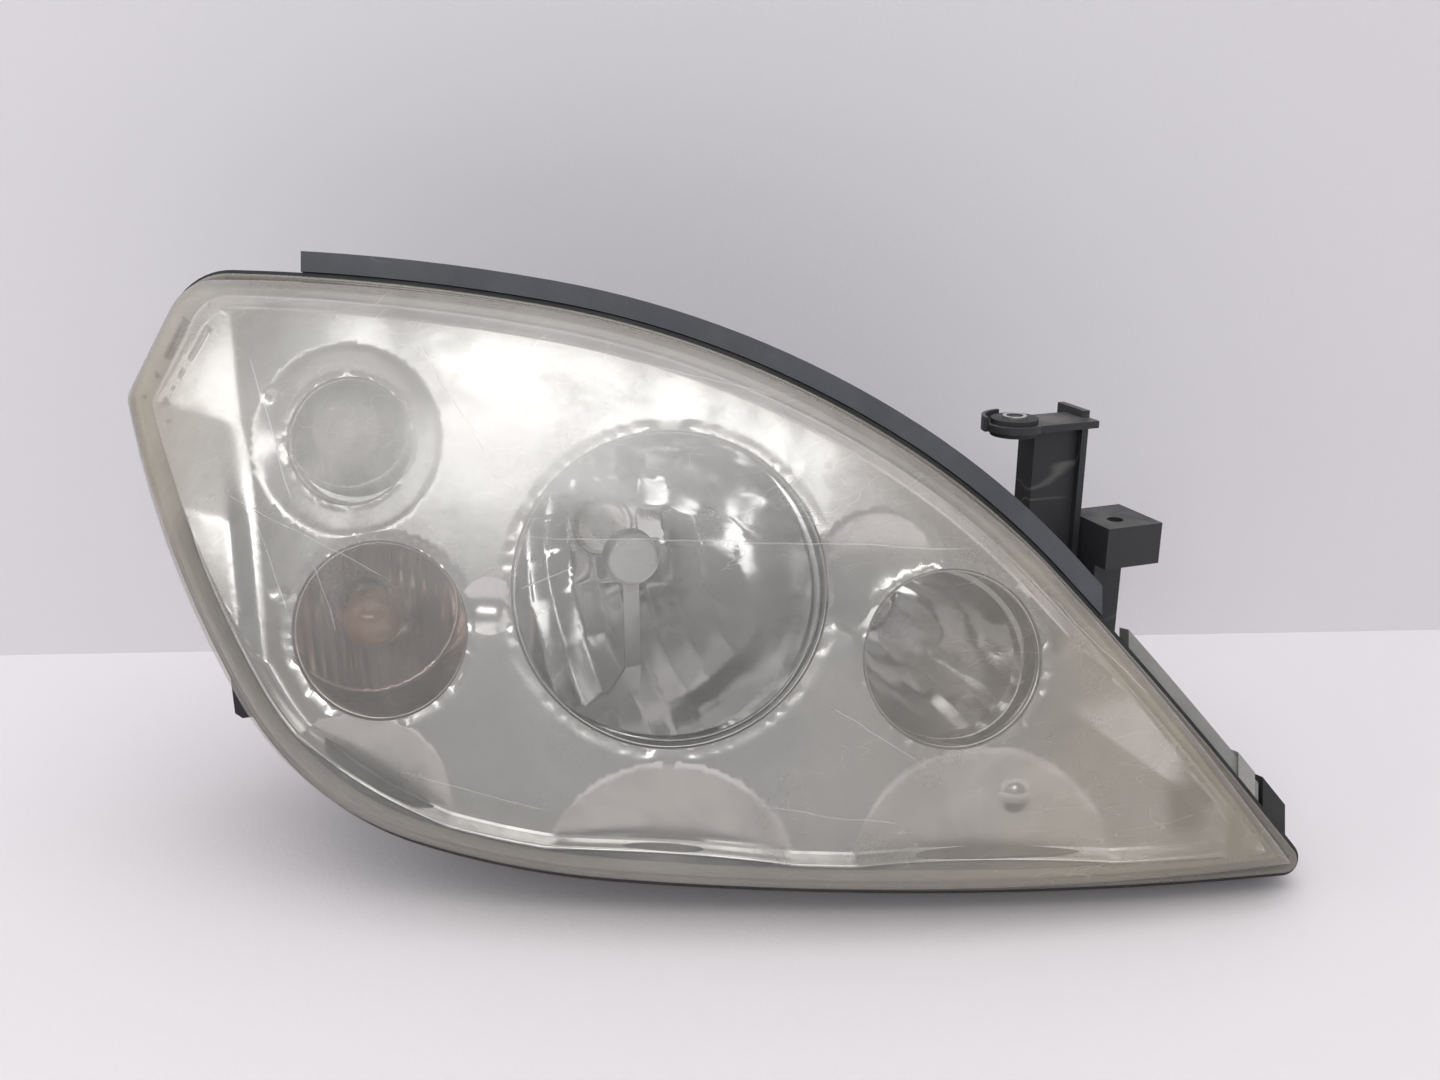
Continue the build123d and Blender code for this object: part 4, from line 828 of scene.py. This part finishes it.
def grown(name, line, tree, values):
    """Runs a tree over a line of points and returns the plain mesh piece."""
    mesh = bpy.data.meshes.new(name)
    mesh.from_pydata([tuple(p) for p in line], [(i, i + 1) for i in range(len(line) - 1)], [])
    seed = placed(name, mesh)
    grow = seed.modifiers.new("grow", "NODES")
    grow.node_group = tree
    sockets = {s.name: s.identifier for s in tree.interface.items_tree if s.in_out == "INPUT"}
    for label, value in values.items():
        grow[sockets[label]] = value
    bpy.context.view_layer.update()
    result = bpy.data.meshes.new_from_object(seed.evaluated_get(bpy.context.evaluated_depsgraph_get()))
    seed.modifiers.remove(grow)
    seed.data = result
    seed.data.name = name
    return seed


# ------------------------------------------------------------ finishes
black = moulded("black_housing_plastic", (0.022, 0.023, 0.025), (0.20, 0.19, 0.17), 0.42, 800, 0.45)
bracket_black = moulded("black_bracket_plastic", (0.030, 0.031, 0.034), (0.24, 0.23, 0.21), 0.40, 1100, 0.40,
                        0.00012, 0.5)
inner_black = moulded("dark_inner_plastic", (0.045, 0.045, 0.047), (0.22, 0.21, 0.19), 0.5, 900, 0.3)
cover_black = moulded("cover_plastic", (0.028, 0.028, 0.030), (0.25, 0.24, 0.21), 0.48, 1300, 0.5, 0.0001)
strip_rubber = moulded("weathered_strip_rubber", (0.075, 0.080, 0.092), (0.26, 0.25, 0.23), 0.55, 700, 0.55,
                       0.0001, 0.45)
seal_rubber = moulded("seal_rubber", (0.028, 0.028, 0.030), (0.16, 0.15, 0.14), 0.62, 900, 0.3)
edge_grey = moulded("grey_edge_foam", (0.30, 0.30, 0.29), (0.42, 0.41, 0.38), 0.7, 1500, 0.5, 0.0002)
butyl = moulded("butyl_sealant", (0.02, 0.02, 0.02), (0.10, 0.09, 0.08), 0.35, 300, 0.2, 0.0003)
nylon = moulded("natural_nylon", (0.62, 0.60, 0.54), (0.46, 0.43, 0.36), 0.42, 900, 0.3)
plug_plastic = moulded("plug_plastic", (0.10, 0.10, 0.11), (0.24, 0.23, 0.21), 0.45, 1000, 0.3)
steel = metal("plated_steel", (0.72, 0.71, 0.68), 0.22)
cap_steel = metal("bulb_shield_metal", (0.50, 0.50, 0.50), 0.30)
dull_steel = metal("dull_screw_steel", (0.42, 0.41, 0.39), 0.36, spots=0.7)
pin_metal = metal("tinned_pins", (0.74, 0.68, 0.52), 0.2)
satin = mirror("satin_silver", (0.74, 0.725, 0.70), 0.02, 0.15, 0.27)
bright = mirror("bright_reflector", (0.70, 0.695, 0.69), 0.02, 0.05, 0.14, 0.00002)
# The turn reflector's brown tint is a painted reflection of the amber bulb, not browning of the metal.
amber_reflection_tinted = mirror("reflector_painted_amber_reflection", (0.46, 0.38, 0.34), 0.03, 0.08, 0.22, 0.00003)
clear_glass = glass("clear_bulb_glass", (0.90, 0.91, 0.92), 0.22)
amber_glass = glass("amber_bulb_glass", (0.30, 0.13, 0.06), 0.62, 0.10, (0.16, 0.08, 0.05))
fluted_clear = glass("fluted_clear_plastic", (0.84, 0.84, 0.82), 0.16, 0.10)
lens_face = lens_finish()
lens_back = lens_inner_finish()

NODE_FINISH = {
    "housing": black, "upper_bracket": bracket_black, "box_tab": bracket_black, "outer_tab": bracket_black,
    "vent_cap": seal_rubber, "lens_sealant": butyl, "weatherstrip": strip_rubber, "motor_seal": seal_rubber,
    "low_cover_seal": seal_rubber, "high_cover_seal": seal_rubber, "bracket_bush": seal_rubber,
    "edge_strip": edge_grey, "spring_clip": steel, "bracket_sleeve": steel, "bracket_screws": dull_steel,
    "outer_tab_screws": dull_steel, "reflector_screws": dull_steel, "low_bulb_clip": steel,
    "high_bulb_clip": steel, "low_bulb_base": steel, "high_bulb_base": steel, "bulb_shield": cap_steel,
    "turn_bulb_base": steel, "reflector_carrier": inner_black, "electrical_inlet": inner_black,
    "levelling_motor": inner_black, "turn_socket": inner_black, "position_socket": inner_black,
    "adjuster_gear": nylon, "adjuster_bush": nylon, "pivot_socket": nylon, "motor_spindle": nylon,
    "pivot_stud": nylon, "adjuster_spindle": nylon, "low_bulb_plug": plug_plastic,
    "high_bulb_plug": plug_plastic, "low_cover": cover_black, "high_cover": cover_black,
    "low_bulb_glass": clear_glass, "high_bulb_glass": clear_glass, "position_bulb": clear_glass,
    "turn_bulb_glass": amber_glass, "position_inner_lens": fluted_clear, "inlet_pins": pin_metal,
    "low_beam_reflector": bright, "high_beam_reflector": bright, "turn_reflector": amber_reflection_tinted,
    "position_reflector": bright, "bezel": satin, "lens": lens_face,
}
for name, piece in nodes.items():
    piece.data.materials.clear()
    piece.data.materials.append(NODE_FINISH[name])

# ------------------------------------------------------------ pieces
lens = make_lens(lens_face, lens_back)
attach(lens, "lamp")
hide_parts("lens")

ribs = grown("lens_ribs", rib_line(), rib_tree(), {**RIBS, "Finish": lens_back})
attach(ribs, "lamp")

bezel = make_bezel(satin)
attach(bezel, "lamp")
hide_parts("bezel")

low_facets = blocks(11.0, 16.0, 0.5, 4, 0.5)
high_facets = blocks(9.0, 12.0, 0.35, 9, 0.3)
for facing in (make_facing("low_beam_facing", LOW_BOWL, bright, low_facets, 1.6, LOW_COLLAR),
               make_facing("high_beam_facing", HIGH_BOWL, bright, high_facets, 1.3, HIGH_COLLAR)):
    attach(facing, "reflectors")
for facing in (make_facing("turn_signal_facing", TURN_BOWL, amber_reflection_tinted, flutes(4.4, 0.35), 0.9),
               make_facing("position_light_facing", POSITION_BOWL, bright, flutes(3.0, 0.5), 0.9)):
    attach(facing, "lamp")

# ------------------------------------------------------------ stage
FLOOR_SIZE = 6.0
# Two places in metres on the line where the backdrop meets the floor.
WALL_FROM, WALL_TO = Vector((-0.319, 0.326, 0)), Vector((0.493, 0.072, 0))


def plane(name, corners, material):
    mesh = bpy.data.meshes.new(name)
    mesh.from_pydata([tuple(c) for c in corners], [], [(0, 1, 2, 3)])
    mesh.materials.append(material)
    placed(name, mesh)


def pale(name, colour, rough):
    """A pale stage finish, clear from behind so that it hides nothing in views from there."""
    f = Finish(name)
    soft = f.noise(6, 3, 0.5)
    base = f.mix(soft * 0.3, rgb(*colour), rgb(*(c * 0.96 for c in colour)))
    behind = f.node("ShaderNodeNewGeometry")["Backfacing"]
    return f.done(Base_Color=base, Roughness=rough, Alpha=1 - behind,
                  Normal=f.bump(f.noise(500, 2), 0.0001))


floor_finish = pale("pale_floor", (0.90, 0.865, 0.885), 0.85)
wall_finish = pale("pale_backdrop", (0.84, 0.82, 0.85), 0.8)
run = (WALL_TO - WALL_FROM).normalized() * FLOOR_SIZE
near = Vector((run.y, -run.x, 0))
high = Vector((0, 0, FLOOR_SIZE))
left_end, right_end = WALL_FROM - run, WALL_TO + run
plane("floor", [left_end + near, right_end + near, right_end, left_end], floor_finish)
plane("backdrop", [left_end, right_end, right_end + high, left_end + high], wall_finish)


def lamp(name, azimuth, elevation, distance, width, height, power, colour=(1, 1, 1)):
    """A soft rectangular light aimed at the face."""
    light = bpy.data.lights.new(name, "AREA")
    light.shape = "RECTANGLE"
    light.size, light.size_y = width, height
    light.energy = power
    light.color = colour
    piece = placed(name, light)
    a, e = math.radians(azimuth), math.radians(elevation)
    back = Vector((math.sin(a) * math.cos(e), -math.cos(a) * math.cos(e), math.sin(e)))
    centre = FACE_CENTRE * MM
    piece.location = centre + back * distance
    piece.rotation_euler = back.to_track_quat("Z", "Y").to_euler()


lamp("bar_light", -31, 25, 2.0, 1.5, 0.34, 7.0)
lamp("ceiling_light", -20, 78, 2.2, 2.6, 2.0, 25)
lamp("left_light", -95, 30, 2.2, 1.4, 1.6, 8)
lamp("right_light", 60, 25, 2.4, 1.4, 1.6, 5)

world = bpy.data.worlds.new("studio")
world.use_nodes = True
bpy.context.scene.world = world
world.node_tree.nodes["Background"].inputs["Color"].default_value = (0.92, 0.93, 0.96, 1)
world.node_tree.nodes["Background"].inputs["Strength"].default_value = 0.33

# ------------------------------------------------------------ camera
VIEW_DISTANCE = 0.5
camera_data = bpy.data.cameras.new("camera")
camera_data.lens = 32.5
camera_data.sensor_width = 36.0
camera_data.clip_start = 0.02
camera = placed("camera", camera_data)
look = Matrix((ACROSS, UP, OUT)).transposed().to_4x4()
camera.matrix_world = Matrix.Translation(FACE_CENTRE * MM + OUT * VIEW_DISTANCE) @ look
bpy.context.scene.camera = camera
bpy.context.scene.view_settings.view_transform = "Standard"

bpy.context.view_layer.update()
